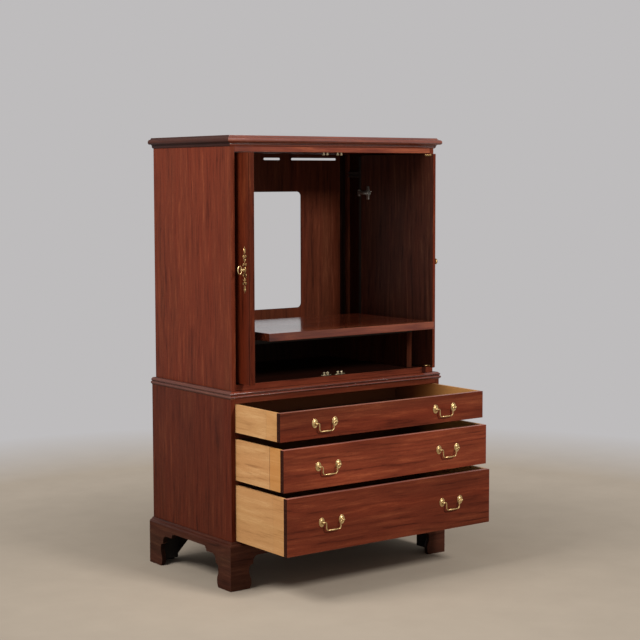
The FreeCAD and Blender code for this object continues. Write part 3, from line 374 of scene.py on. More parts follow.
def wood(name, tones, grain, seed, figure=0.5, rings=0.35, gloss=0.38, coat=0.0, level=0.06, wear=0.35,
         ring_scale=5.0, split=None, bright=1.0, bands=0.0, ends=0.5, tops=None, zones=(), sides=1.0,
         hue=0.5, clouds=0.0, crevice=0.0, drawer=None, brads=None):
    """Finished timber: ribbon figure, ring lines, fibres, pores, worn arrises and a satin film.

    figure, rings, bands, hue, clouds, crevice and wear say how much shows of the ribbons, ring lines,
    belts, drift of hue, dark clouds, painted shade in corners and rubbed edges. level is the film's
    specular level. ends darkens end grain, and tops and zones tint single faces with painted light or
    shade. split and sides belong to the mouldings: their front run has the full specular level, and sides
    is the share of it and of the colour that the side runs keep, a painted shade on them.
    drawer and brads are for drawer_finish and brad_dots."""
    shader = material_shader(name)
    place = shader.place()
    vector, past = grain_vector(shader, place, grain, seed, split)
    sway = shader.noise(shader.scaled(place, (1, 1, 1), (seed, 0, seed)), *SWAY)
    drift = shader.grey(shader.times(sway, SWAY_REACH))
    wavy = shader.add("ShaderNodeVectorMath", {0: vector, 1: drift}, operation="ADD").outputs[0]
    tone, fibre = timber_tone(shader, vector, wavy, seed, figure, rings, ring_scale, bands)
    colour = timber_colour(shader, tone, vector, wavy, tones, seed, hue, clouds)
    pores = shader.noise(shader.scaled(vector, (1, 1, 1), (3, 1, 2)), *PORES)
    pore_mask = shader.remap(pores, 0.62, 0.72)
    colour = shader.mix(shader.times(pore_mask, 0.55), colour, tones["pore"])
    if drawer is not None:
        colour = drawer_finish(shader, place, colour, *drawer)
    if bright != 1.0:
        colour = shader.tinted(colour, (bright, bright, bright))
    if split is None:
        colour = face_shade(shader, colour, place, grain, ends, tops, zones)
    else:
        # painted shade: a moulding's side runs keep only the sides share of its colour, and of the
        # specular level
        level = shader.remap(past, 0.0, 1.0, 1.0, sides)
        colour = shader.tinted(colour, shader.grey(level))
    # painted shade: the colour goes toward the pore tone where the occlusion mask finds corners and
    # grooves
    if crevice:
        corner_shade = shader.remap(shader.openness(CORNER_REACH), 0.38, 0.84, crevice, 0.0)
        colour = shader.mix(corner_shade, colour, tones["pore"])
    scuffs = shader.remap(shader.noise(place, *SCUFFS), 0.35, 0.62)
    edge = shader.times(shader.edge_mask(EDGE_RADIUS, 2.2), scuffs)
    colour = shader.mix(shader.times(edge, wear), colour, tones["worn"])
    height = shader.times_plus(pore_mask, -0.6, shader.times(fibre, 0.5))
    if brads is not None:
        colour, dots = brad_dots(shader, place, colour, *brads)
        height = shader.times_plus(dots, 4.0, height)
    rough = shader.times_plus(shader.noise(place, *FILM), 0.16, gloss - 0.08)
    rough = shader.times_plus(pore_mask, 0.15, rough)
    if past is not None:
        rough = shader.times_plus(past, 0.42, rough)
    return shader.principled(
        Base_Color=colour, Roughness=rough, Normal=shader.bump(height, 0.00008, 0.5), IOR=1.5,
        Specular_IOR_Level=level, Coat_Weight=coat, Coat_Roughness=0.12, Coat_IOR=1.5)


# ---------------------------------------------------------------- metal and plastic

def metal(name, base, deep, gloss, brushed=None, patina=0.45):
    """Metal with a darker film in patches and in its corners, fine scratches and polished edges; brushed
    draws the scratches out along one axis."""
    shader = material_shader(name)
    place = shader.place()
    film = shader.noise(place, 120.0, 4.0, 0.62, 0.4)
    fine = shader.noise(place, 900.0, 2.0, 0.6)
    corner = shader.remap(shader.openness(0.008), 0.35, 0.95, 1.0, 0.0)
    tarnish = shader.times(shader.remap(film, 0.42, 0.66), patina)
    dull = shader.math("MAXIMUM", tarnish, corner)
    colour = shader.mix(dull, base, deep)
    colour = shader.mix(shader.edge_mask(0.0008, 1.6), colour, tuple(min(1, c * 1.25) for c in base))
    rough = shader.times_plus(dull, 0.28, gloss)
    rough = shader.times_plus(fine, 0.08, rough)
    lines = fine
    if brushed is not None:
        lines = shader.noise(shader.scaled(place, brushed), 2600.0, 2.0, 0.5)
    normal = shader.bump(lines, 0.00003, 0.35)
    return shader.principled(Base_Color=colour, Roughness=rough, Normal=normal, Metallic=1.0)


def moulded(name, tone):
    """Moulded plastic with a fine pebbled skin and rubbed edges."""
    shader = material_shader(name)
    place = shader.place()
    pebbles = shader.noise(place, 1400.0, 3.0, 0.6)
    blotch = shader.noise(place, 24.0, 3.0, 0.5)
    colour = shader.mix(shader.remap(blotch, 0.3, 0.7, 0.0, 0.6), tone, tuple(c * 1.7 for c in tone))
    colour = shader.mix(shader.edge_mask(0.001, 1.2), colour, tuple(c * 3 for c in tone))
    rough = shader.times_plus(pebbles, 0.2, 0.42)
    return shader.principled(Base_Color=colour, Roughness=rough, Normal=shader.bump(pebbles, 0.00006, 0.5))


# ---------------------------------------------------------------- dressing the CAD nodes

FINE_ARRIS, ARRIS, ROUGH_ARRIS = 0.001, 0.0012, 0.0015
FACE_DEPTH = 0.0008     # a zone that ends at a board's face goes this far into the board
BEHIND_DOORS = 0.437    # from here outward the back panel lies in the shade of an open door


def dress(node, material, edge=0.0, segments=2):
    """Gives a node its material, and eases its sharp edges with a bevel that leaves the mesh alone."""
    part = NODES[node]
    part.material_slots[0].material = material
    if edge:
        weld = part.modifiers.new("weld", "WELD")
        weld.merge_threshold = 0.00002
        bevel = part.modifiers.new("edges", "BEVEL")
        bevel.width = edge
        bevel.segments = segments
        bevel.limit_method = "ANGLE"
        bevel.angle_limit = math.radians(35)
        bevel.harden_normals = True


def timber(node, tones, grain, seed, edge=0.0, segments=2, **look):
    """Dresses a node in a wood of its own; the seed keeps its figure apart from its neighbours'."""
    dress(node, wood(node, tones, grain, seed, **look), edge, segments)


def inner_face(node, tint):
    """The zone up to the inner faces of a pair of boards; node is the right one of the two."""
    return (("X", 0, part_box(node)[0].x + FACE_DEPTH, tint, False),)


def dress_case():
    """The outside of both cases; each board has its own seed and brightness."""
    # painted shade: the inner faces of the upper sides are darkened to a quarter
    inner_light_and_shade = inner_face("upper_right_side", (0.25, 0.25, 0.25))
    sides = {
        "lower_left_side": (1.0, 0.72, ()),
        "lower_right_side": (2.3, 0.72, ()),
        "upper_left_side": (3.1, 1.0, inner_light_and_shade),
        "upper_right_side": (4.7, 1.0, inner_light_and_shade),
    }
    for node, (seed, bright, zones) in sides.items():
        timber(node, MAHOGANY, "z", seed, ARRIS, figure=0.38, rings=0.08, bands=0.10, bright=bright,
               zones=zones)
    boards = {
        # the last value is tops: on the upper floor board, painted shade on the top face of the video
        # bay's floor
        "upper_floor_board": (6.4, 1.05, (0.15, 0.22, 0.30)),
        "lower_top_board": (8.8, 0.8, None),
        "drawer_web_frames": (9.6, 0.7, None),
        "lower_bottom_board": (10.5, 0.6, None),
        "top_board": (11.2, 0.9, None),
        "upper_ceiling_board": (12.6, 0.5, None),
    }
    for node, (seed, bright, tops) in boards.items():
        timber(node, MAHOGANY, "x", seed, ARRIS, figure=0.4, rings=0.15, bright=bright, tops=tops)
    # the frieze is brightened by a quarter as a painted sheen
    timber("frieze_rail", MAHOGANY, "x", 7.9, ARRIS, gloss=0.3, level=0.25, bright=1.25)
    # ends darkens the base boards' end faces hard, end grain together with painted shade on the feet;
    # crevice paints shade into their corners
    base = {"front": (5.2, "x"), "left": (13.1, "y"), "right": (14.4, "y")}
    for side, (seed, grain) in base.items():
        timber(f"{side}_base_board", BASE_BROWN, grain, seed, ARRIS, figure=0.4, rings=0.2, ends=0.25,
               crevice=0.4)
    # crevice paints shade into the grooves of the mouldings, and side_shade darkens their side runs as
    # painted shade
    mouldings = {
        "waist_moulding": (15.5, (HALF_CASE, FRONT), 1.3, 0.60),
        "cornice": (16.2, (HALF_UPPER, UPPER_FRONT), 1.2, 0.25),
    }
    for node, (seed, split, bright, side_shade) in mouldings.items():
        timber(node, MAHOGANY, "x", seed, 0.0006, figure=0.35, rings=0.15, gloss=0.22, wear=0.12,
               crevice=0.85, split=split, bright=bright, sides=side_shade)


def dress_inside():
    """The back panels with their shadowed stretches, and what lies in and under the cases."""
    bay_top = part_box("tv_platform")[0].z
    shadows = (
        ("Z", 0, bay_top, (0.22, 0.32, 0.45), True),
        ("X", BEHIND_DOORS, 1, (0.18, 0.28, 0.40), True),
    )
    for node, seed, zones in (("upper_back_panel", 17.3, shadows), ("lower_back_panel", 18.9, ())):
        low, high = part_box(node)
        timber(node, DARK_PANEL, "z", seed, 0.0006, figure=0.5, rings=0.05, gloss=0.42, bands=0.25,
               zones=zones, brads=(high.x, low.z, high.z))
    timber("video_bay_dividers", DARK_PANEL, "z", 19.4, FINE_ARRIS, bright=0.5)
    timber("back_cleats", DARK_PANEL, "z", 21.7, FINE_ARRIS, gloss=0.5)
    timber("video_shelf", CHARCOAL, "x", 20.1, FINE_ARRIS)
    # the glue blocks and rear brackets are made nearly black as painted shade inside the feet
    timber("foot_blocks", CHARCOAL, "z", 22.2, ROUGH_ARRIS, gloss=0.6, bright=0.45)
    timber("rear_brackets", CHARCOAL, "x", 23.8, ROUGH_ARRIS, gloss=0.55, bright=0.45)
    timber("tv_platform", MAHOGANY, "x", 24.6, 0.0025, 3, figure=0.45, rings=0.3, gloss=0.14, coat=0.6,
           level=0.2, wear=0.3, bands=0.5, clouds=0.4, bright=0.95)


def dress_doors():
    # painted sheen and shade: the doors' inner faces are darker in red and greyer; crevice paints shade
    # into the corners and grooves of the panels and mouldings
    inner_light_and_shade = inner_face("right_door_panel", (0.62, 1.15, 1.80))
    for side, seed, bright in (("left", 30.0, 0.67), ("right", 36.0, 0.88)):
        timber(f"{side}_door_panel", DOOR_RED, "z", seed, ARRIS, figure=0.45, rings=0.10, bands=0.12,
               bright=bright, zones=inner_light_and_shade, crevice=0.75)
        timber(f"{side}_door_moulding", DOOR_RED, "z", seed + 1.4, ROUGH_ARRIS, 3, gloss=0.28,
               level=0.12, bright=bright, crevice=0.6)
        timber(f"{side}_door_carrier", CHARCOAL, "z", seed + 2.9, FINE_ARRIS)


def dress_drawers():
    """Each drawer has its own seed, strength of the golden band and brightness of the front."""
    drawers = {"top": (41.0, 0.14, 0.98), "middle": (47.0, 0.50, 1.36), "bottom": (53.0, 0.07, 1.04)}
    for name, (seed, band, bright) in drawers.items():
        low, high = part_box(f"{name}_drawer_front")
        # tops paints a pinkish highlight along the top faces of the fronts
        timber(f"{name}_drawer_front", MAHOGANY, "x", seed, 0.0022, 3, figure=0.34, rings=0.22,
               gloss=0.32, ring_scale=6.5, bands=0.20, clouds=0.42, ends=0.2, tops=(2.8, 5.2, 8.4),
               bright=bright)
        timber(f"{name}_drawer_box", MAPLE, "y", seed + 1.1, 0.0008, figure=0.3, rings=0.3, gloss=0.42,
               wear=0.15, ends=1.0, hue=0.12, drawer=(low.y, high.x, band))
        timber(f"{name}_drawer_floor", SECONDARY, "x", seed + 2.2, figure=0.3, rings=0.3, gloss=0.5,
               bright=1.3)


def metals():
    """The metals of the fittings by short name: clean and tarnished colour, roughness and the rest."""
    brushed = (1, 0.05, 1)
    return {
        "brass": metal("antique_brass", (0.66, 0.47, 0.22), (0.17, 0.095, 0.036), 0.30, patina=0.65),
        "warm": metal("warm_brass", (0.62, 0.40, 0.17), (0.060, 0.026, 0.010), 0.26, patina=0.85),
        "key": metal("key_brass", (0.82, 0.62, 0.30), (0.24, 0.15, 0.06), 0.22, patina=0.4),
        "catch": metal("catch_brass", (0.76, 0.64, 0.42), (0.20, 0.14, 0.07), 0.2, patina=0.4),
        "nickel": metal("nickel", (0.40, 0.375, 0.33), (0.10, 0.085, 0.070), 0.24, brushed, 0.6),
        "zinc": metal("zinc", (0.46, 0.45, 0.44), (0.16, 0.15, 0.14), 0.32, brushed),
    }


METALS = metals()


def dress_fittings():
    dress("left_door_lock", METALS["nickel"], 0.0006)
    for node in ("shelf_slides", "platform_slides"):
        dress(node, METALS["zinc"], 0.0003)
    dress("door_tracks", moulded("track_plastic", (0.030, 0.020, 0.016)), 0.0006)


# ---------------------------------------------------------------- mesh helpers

MM = 0.001      # the meshes are drawn in mm


def shares(steps):
    """Even steps from 0 to 1."""
    return [step / (steps - 1) for step in range(steps)]


def skin(mesh, rings, closed=False):
    """Faces between one ring of vertices and the next; closed joins the last ring to the first, else both
    ends are capped."""
    pairs = list(zip(rings[:-1], rings[1:]))
    if closed:
        pairs.append((rings[-1], rings[0]))
    for low, high in pairs:
        count = len(low)
        for step in range(count):
            other = (step + 1) % count
            mesh.faces.new((low[step], low[other], high[other], high[step]))
    if not closed:
        mesh.faces.new(rings[0][::-1])
        mesh.faces.new(rings[-1])


def turned(profile, sides, stretch=(1, 1), closed=False):
    """A turned form about the local Z: profile holds (height, radius) in mm, stretch makes it oval."""
    mesh = bmesh.new()
    rings = []
    for height, radius in profile:
        ring = []
        for step in range(sides):
            angle = math.tau * step / sides
            across = radius * stretch[0] * math.cos(angle)
            up = radius * stretch[1] * math.sin(angle)
            ring.append(mesh.verts.new((across * MM, up * MM, height * MM)))
        rings.append(ring)
    skin(mesh, rings, closed)
    return mesh


def swept(points, radii, sides=10, flat=1.0, closed=False, side_on=Vector((0, 0, 1))):
    """A bar along a path that lies in one plane; side_on is the plane's normal, flat thins it that way."""
    mesh = bmesh.new()
    rings = []
    count = len(points)
    for step, (point, radius) in enumerate(zip(points, radii)):
        before = points[step - 1] if step or closed else points[0]
        after = points[(step + 1) % count] if step < count - 1 or closed else points[-1]
        across = side_on.cross((Vector(after) - Vector(before)).normalized())
        ring = []
        for turn in range(sides):
            angle = math.tau * turn / sides
            offset = across * (radius * math.cos(angle)) + side_on * (radius * flat * math.sin(angle))
            ring.append(mesh.verts.new((Vector(point) + offset) * MM))
        rings.append(ring)
    skin(mesh, rings, closed)
    return mesh


def plate(outline, low, high, edge=0.4):
    """A flat plate from its outline in mm, with eased edges."""
    mesh = bmesh.new()
    rings = []
    for level in (low, high):
        rings.append([mesh.verts.new((u * MM, v * MM, level * MM)) for u, v in outline])
    skin(mesh, rings)
    rim = [line for line in mesh.edges if all(corner in rings[1] for corner in line.verts)]
    bmesh.ops.bevel(mesh, geom=rim, offset=edge * MM, segments=2, affect="EDGES", profile=0.5)
    return mesh


def lozenge(length, width, sides=10):
    """The outline of a strip with round ends, along the local X."""
    half, radius = (length - width) / 2, width / 2
    points = []
    for side in (1, -1):
        for step in range(sides + 1):
            angle = math.pi * (step / sides - 0.5)
            points.append((side * (half + radius * math.cos(angle)), side * radius * math.sin(angle)))
    return points


def rounded(length, width, radius, sides=5):
    """The outline of a rectangle with round corners."""
    points = []
    for quarter, (sx, sy) in enumerate(((1, 1), (-1, 1), (-1, -1), (1, -1))):
        for step in range(sides + 1):
            angle = math.pi / 2 * (quarter + step / sides)
            points.append((sx * (length / 2 - radius) + radius * math.cos(angle),
                           sy * (width / 2 - radius) + radius * math.sin(angle)))
    return points


def screw(radius, height=0.9):
    """A domed screw head with a cross recess."""
    dome = ((-0.6, radius), (0.2, radius), (height * 0.75, radius * 0.8), (height, radius * 0.5),
            (height, radius * 0.22))
    mesh = turned(dome, sides=16)
    for vertex in mesh.verts:
        reach = vertex.co.xy.length / MM
        on_arm = abs(math.sin(2 * math.atan2(vertex.co.y, vertex.co.x))) < 0.2
        recessed = reach < radius * 0.3 or (on_arm and reach < radius * 0.7)
        if recessed and vertex.co.z > 0.3 * MM:
            vertex.co.z = 0.05 * MM
    return mesh


def merge(whole, part, matrix=Matrix()):
    """Adds a finished part to a larger mesh at its place."""
    scratch = bpy.data.meshes.new("scratch")
    part.to_mesh(scratch)
    part.free()
    scratch.transform(matrix)
    if matrix.determinant() < 0:
        scratch.flip_normals()
    whole.from_mesh(scratch)
    bpy.data.meshes.remove(scratch)


def facing(origin, out, up=(0, 0, 1), flip=False):
    """The matrix of a local frame at origin: Z points out, Y up, and X is mirrored if flip is set."""
    out, up = Vector(out), Vector(up)
    across = up.cross(out) * (-1 if flip else 1)
    turn = Matrix((across, up, out)).transposed().to_4x4()
    return Matrix.Translation(origin) @ turn


def piece(name, mesh, body, material, stands_for):
    """Turns a built mesh into a named piece that rides a body in the place of a CAD node."""
    data = bpy.data.meshes.new(name)
    bmesh.ops.recalc_face_normals(mesh, faces=mesh.faces)
    for face in mesh.faces:
        face.smooth = True
    mesh.to_mesh(data)
    mesh.free()
    data.set_sharp_from_angle(angle=math.radians(50))
    data.materials.append(material)
    made = bpy.data.objects.new(name, data)
    bpy.context.scene.collection.objects.link(made)
    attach(made, body)
    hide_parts(stands_for)


# ---------------------------------------------------------------- drawer pulls

# Metres: a pull from its drawer's middle, its posts from its centre, its pivots from the front.
PULL_CENTRE, PULL_HALF, PULL_REACH = 0.292, 0.046, 0.012
# Profiles for turned(): height and radius in mm. Those of ROSETTE are shares of half the plate's size.
ROSETTE_HIGH, ROSETTE_WIDE = 35, 26
ROSETTE = ((0.0, 1.0), (0.9, 1.0), (1.7, 0.95), (2.0, 0.88), (1.7, 0.80), (1.3, 0.74), (1.5, 0.66),
           (2.6, 0.58), (3.6, 0.47), (3.9, 0.38), (3.5, 0.33))
POST = ((1.5, 4.6), (4.6, 4.6), (5.2, 3.7), (5.8, 3.3), (6.8, 3.2), (7.4, 3.9), (8.0, 3.9), (8.6, 3.3),
        (9.0, 4.2), (10.2, 4.8), (12.0, 5.0), (13.8, 4.7), (15.4, 3.6), (16.4, 2.0), (16.9, 0.6))


def rosettes(mesh, front, level):
    """The stepped oval plates of one drawer, each with its collared post and ball."""
    steps = [(height, ROSETTE_HIGH / 2 * share) for height, share in ROSETTE]
    for side in (-1, 1):
        for end in (-1, 1):
            centre = (side * PULL_CENTRE + end * PULL_HALF, front, level)
            at = facing(centre, (0, -1, 0))
            merge(mesh, turned(steps, 40, (ROSETTE_WIDE / ROSETTE_HIGH, 1)), at)
            merge(mesh, turned(POST, 24), at)


def bend(centre, radius, start, stop, steps=7):
    """Points on an arc in the XZ plane, angles in degrees."""
    angles = [math.radians(start + (stop - start) * t) for t in shares(steps)]
    return [(centre[0] + radius * math.cos(a), 0, centre[1] + radius * math.sin(a)) for a in angles]


# The left half of a bail: (distance from its middle, radius) along the pin end and along the grip.
BAIL_PIN = ((-51.4, 0.8), (-51, 2.4), (-49.6, 2.9), (-46, 2.2))
BAIL_GRIP = ((-16.5, 2.2), (-15.6, 3.0), (-14.4, 3.0), (-13.6, 2.3), (-12.0, 2.6), (-8, 3.1), (-4, 3.4),
             (0, 3.5))
BAIL_DROP = 31


def bail():
    """The swinging handle in mm about its pivot: pin ends, shouldered legs and a turned grip."""
    shoulder = bend((-39, -6), 6, 90, 0)
    corner = bend((-23, -21), 10, 180, 262, 9)
    half = [(x, 0, 0) for x, _ in BAIL_PIN] + shoulder + corner
    half += [(x, 0, -BAIL_DROP) for x, _ in BAIL_GRIP]
    radii = [radius for _, radius in BAIL_PIN] + [2.3] * len(shoulder) + [2.4] * len(corner)
    radii += [radius for _, radius in BAIL_GRIP]
    points = half + [(-x, y, z) for x, y, z in reversed(half[:-1])]
    return swept(points, radii + radii[-2::-1], sides=14, side_on=Vector((0, 1, 0)))


def drawer_pulls():
    """The four plates of a drawer as one piece, and each bail as a piece on a body of its own."""
    for name in ("top", "middle", "bottom"):
        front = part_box(f"{name}_drawer_front")[0].y
        low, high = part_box(f"{name}_drawer_rosettes")
        level = (low.z + high.z) / 2
        plates = bmesh.new()
        rosettes(plates, front, level)
        piece(f"{name}_drawer_pull_plates", plates, f"{name}_drawer", METALS["brass"],
              f"{name}_drawer_rosettes")
        for side, sign in (("left", -1), ("right", 1)):
            handle = bmesh.new()
            merge(handle, bail(), Matrix.Translation((sign * PULL_CENTRE, front - PULL_REACH, level)))
            piece(f"{name}_{side}_handle_bar", handle, f"{name}_{side}_handle", METALS["brass"],
                  f"{name}_{side}_bail")


# ---------------------------------------------------------------- door furniture

def curl(centre, size, start, turn, tighten, thick):
    """A scroll in the plate's plane: a bar that winds in to a round eye."""
    points, radii = [], []
    for t in shares(22):
        angle = math.radians(start + turn * t)
        reach = size * (1 - tighten * t)
        swell = math.sin(math.pi * min(1, t * 1.15))
        eye = max(0, t - 0.85) / 0.15
        points.append((centre[0] + reach * math.cos(angle), centre[1] + reach * math.sin(angle), 1.3))
        radii.append(thick * (0.35 + 0.75 * swell + 0.5 * eye))
    return swept(points, radii, sides=8, flat=0.9)


def leaf(start, angle, length, width):
    """A blade of the palmette, pointed at its tip."""
    lean = math.radians(angle)
    points, radii = [], []
    for t in shares(9):
        reach = length * t
        points.append((start[0] + reach * math.cos(lean), start[1] + reach * math.sin(lean), 1.1))
        radii.append(max(0.25, width * math.sin(math.pi * (0.12 + 0.88 * t))))
    return swept(points, radii, sides=8, flat=0.55)


# The door plate's parts in its upper right quarter, in mm. KEYHOLE_RING: height and radius. SCROLLS:
# centre, size, start and turn in degrees, how far it winds in, thickness. STEMS: root, angle, length,
# width. BLADES, from the middle out: angle, length, width. BEADS: level, radius.
KEYHOLE_RING = ((0.0, 9.4), (1.4, 9.4), (2.5, 8.6), (2.9, 7.6), (2.3, 6.6), (1.3, 6.0), (1.3, 5.2),
                (1.9, 4.6), (1.9, 3.6), (1.2, 3.2), (0.0, 3.2))
SCROLLS = (((6.2, 20.4), 6.4, -150, 350, 0.72, 1.9), ((4.6, 36.6), 6.2, 250, -350, 0.74, 1.75),
           ((6.0, 52.0), 6.4, -140, 330, 0.72, 1.7), ((3.0, 64.0), 4.2, 250, -300, 0.7, 1.3))
STEMS = (((1.2, 27.5), 78, 10.5, 1.5), ((1.4, 44.0), 62, 9.0, 1.4), ((1.0, 57.5), 96, 8.5, 1.2))
BLADES = ((90, 22.0, 2.3), (66, 16.5, 1.8), (42, 11.0, 1.5))
BEADS = ((29.0, 1.6), (45.0, 1.5), (59.5, 1.4))


def ornament():
    """The pierced door plate in mm: a ringed keyhole, scrolls in pairs and a palmette at each end."""
    mesh = bmesh.new()
    merge(mesh, turned(KEYHOLE_RING, 36, (0.95, 1.25), closed=True))
    for end in (1, -1):
        for side in (1, -1):
            flip = Matrix.Diagonal((side, end, 1, 1))
            for scroll in SCROLLS:
                merge(mesh, curl(*scroll), flip)
            for stem in STEMS:
                merge(mesh, leaf(*stem), flip)
            for blade in BLADES[1:]:
                merge(mesh, leaf((0.6, 66.0), *blade), flip)
        merge(mesh, leaf((0, 66.5), *BLADES[0]), Matrix.Diagonal((1, end, 1, 1)))
        for level, radius in BEADS:
            drop = turned(((0, radius), (1.2, radius), (2.2, radius * 0.8), (2.9, radius * 0.35)), 14)
            merge(mesh, drop, Matrix.Translation((0, end * level * MM, 0)))
    return mesh


# More profiles for turned(), in mm.
KNOB = ((2.0, 8.2), (3.0, 8.2), (3.8, 7.0), (4.6, 5.2), (6.5, 4.3), (10.0, 4.0), (12.5, 4.6), (13.4, 5.8),
        (14.2, 5.8), (15.2, 5.2), (17.0, 8.2), (19.5, 11.2), (21.5, 12.0), (24.0, 11.6), (27.0, 9.4),
        (29.5, 6.0), (31.0, 3.2), (31.6, 0.8))
KEY_STEM = ((-15.0, 2.7), (-14.5, 3.0), (3.2, 3.0), (3.4, 4.6), (4.4, 5.0), (5.6, 4.7), (6.2, 3.6),
            (6.9, 3.6), (7.4, 4.4), (8.2, 4.4), (8.8, 3.3), (11.0, 2.9), (13.0, 3.5), (14.0, 3.8),
            (15.2, 3.2), (16.0, 2.2))
BOW_MIDDLE, BOW_ACROSS, BOW_ALONG = 23.0, 14.8, 8.3     # the bow's place on the stem and its half sizes
BOW_STEPS = 40


def key():
    """The key in mm about the plate's face: a turned stem and an oval bow with two scrolls at its root."""
    mesh = bmesh.new()
    merge(mesh, turned(KEY_STEM, 24))
    side_on = Vector((1, 0, 0))
    loop, radii = [], []
    for step in range(BOW_STEPS):
        angle = math.tau * step / BOW_STEPS
        loop.append((0, BOW_ACROSS * math.sin(angle), BOW_MIDDLE + BOW_ALONG * math.cos(angle)))
        radii.append(1.7 + 0.15 * math.cos(2 * angle))
    merge(mesh, swept(loop, radii, flat=1.3, closed=True, side_on=side_on))
    for side in (1, -1):
        points, radii = [], []
        for t in shares(14):
            angle = math.radians(190 + 270 * t)
            reach = 2.5 * (1 - 0.6 * t)
            across = 3.2 + reach * 1.2 * math.sin(angle)
            points.append((0, side * across, BOW_MIDDLE - 5.4 + reach * math.cos(angle)))
            radii.append(0.95 - 0.3 * t)
        merge(mesh, swept(points, radii, sides=8, side_on=side_on))
    return mesh


def door_furniture():
    """The plates on the doors' outer faces: the left one with a key, the right one with a knob."""
    for side, sign in (("left", -1), ("right", 1)):
        node = "left_door_escutcheon" if side == "left" else "right_door_pull"
        low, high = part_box(f"{side}_door_panel")
        outer = sign * max(abs(low.x), abs(high.x))
        low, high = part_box(node)
        at = facing((outer, (low.y + high.y) / 2, (low.z + high.z) / 2), (sign, 0, 0))
        mesh = bmesh.new()
        merge(mesh, ornament(), at)
        if side == "right":
            merge(mesh, turned(KNOB, 36), at)
            piece("right_door_knob_plate", mesh, "right_door", METALS["warm"], node)
            continue
        piece("left_door_key_plate", mesh, "left_door", METALS["warm"], node)
        shape = bmesh.new()
        merge(shape, key(), at)
        piece("left_door_bow_key", shape, "left_key", METALS["key"], "left_door_key")


# ---------------------------------------------------------------- hinges, strikes and catches

# Sizes in mm, and profiles for turned().
CUP_FROM_REAR, CARRIER_GAP, CARRIER_DEEP = 47.0, 2.0, 16.0
CUP = ((-11.5, 15), (-10, 16.2), (1.2, 16.2), (2.3, 15.6), (2.6, 14.6), (2.0, 13.6), (-8, 13.2),
       (-9.5, 12))
WING_WIDE, WING_HIGH = 18, 58
STRIKE_LONG, STRIKE_WIDE = 40, 8
CATCH_LONG, CATCH_WIDE = 50, 9
TONGUE = ((1.0, 2.6), (2.4, 2.2), (7.0, 2.0), (8.2, 1.5), (9.4, 2.0), (11.2, 1.8), (12.0, 0.9))
BARREL = ((5.0, 3.4), (5.4, 4.2), (12.6, 4.2), (13.2, 3.4), (13.6, 2.2), (14.8, 2.0), (15.2, 1.4))
BALL_RADIUS = 2.9
BALL_START, BALL_LEVEL = 2.5, 9.4       # from the catch's middle, and over its board


def shifted(x=0, y=0, z=0):
    """A move by so many mm."""
    return Matrix.Translation((x * MM, y * MM, z * MM))


def hinge():
    """A concealed hinge in mm about its cup: X runs back to the carrier, Z out of the door's face."""
    mesh = bmesh.new()
    merge(mesh, plate(rounded(WING_WIDE, WING_HIGH, 3), 0, 1.8, 0.5))
    merge(mesh, turned(CUP, 40))
    foot = CUP_FROM_REAR + CARRIER_GAP + CARRIER_DEEP / 2
    back = foot + CARRIER_DEEP / 2
    arm = ((-2.5, -5.6), (10, -7.4), (back - 4, -7.4), (back, -4.5), (back, 4.5), (back - 4, 7.4),
           (10, 7.4), (-2.5, 5.6))
    merge(mesh, plate(arm, 1.0, 7.0, 1.1))
    merge(mesh, plate(rounded(back - WING_WIDE, 6.5, 2), 6.8, 8.8, 0.8), shifted(back / 2))
    merge(mesh, plate(rounded(CARRIER_DEEP, 30, 2.5), 0, 6.4, 0.8), shifted(foot))
    heads = ((0, 23, 1.6, 3.6), (0, -23, 1.6, 3.6), (foot, 10.8, 6.2, 3.2), (foot, -10.8, 6.2, 3.2),
             (foot - 1, 0, 8.0, 2.6), (24, 0, 7.6, 2.4))
    for x, y, height, radius in heads:
        merge(mesh, screw(radius), shifted(x, y, height))
    return mesh


def strike():
    """A strike plate in mm with its tongue and two screws; X runs along the door."""
    mesh = bmesh.new()
    merge(mesh, plate(lozenge(STRIKE_LONG, STRIKE_WIDE), 0, 1.5))
    merge(mesh, turned(TONGUE, 12))
    for x in (-14, 14):
        merge(mesh, screw(2.6, 0.7), shifted(x, 0, 1.5))
    return mesh


def catch():
    """A double ball catch in mm on its plate, Z away from the board: two sprung balls face each other."""
    mesh = bmesh.new()
    merge(mesh, plate(rounded(CATCH_LONG, CATCH_WIDE, 2), 0, 1.2))
    ball = [(BALL_START + BALL_RADIUS * (1 - math.cos(math.pi * t)),
             max(0.1, BALL_RADIUS * math.sin(math.pi * t))) for t in shares(10)]
    for side in (1, -1):
        along = facing((0, 0, BALL_LEVEL * MM), (side, 0, 0), (0, 1, 0))
        merge(mesh, turned(BARREL, 20), along)
        merge(mesh, turned(ball, 16), along)
        merge(mesh, plate(rounded(8.0, 7.0, 1.5), 1.0, BALL_LEVEL, 0.2), shifted(side * 9))
        merge(mesh, screw(2.2, 0.6), shifted(side * 22.3, 0, 1.4))
    return mesh


def pair_on_door(build, node, half_height, sign, inner, along):
    """Two of a fitting on a door's inner face, at the lower and the upper end of their node's box."""
    low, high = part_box(node)
    mesh = bmesh.new()
    for level in (low.z + half_height * MM, high.z - half_height * MM):
        merge(mesh, build(), facing((inner, along, level), (-sign, 0, 0), flip=sign > 0))
    return mesh


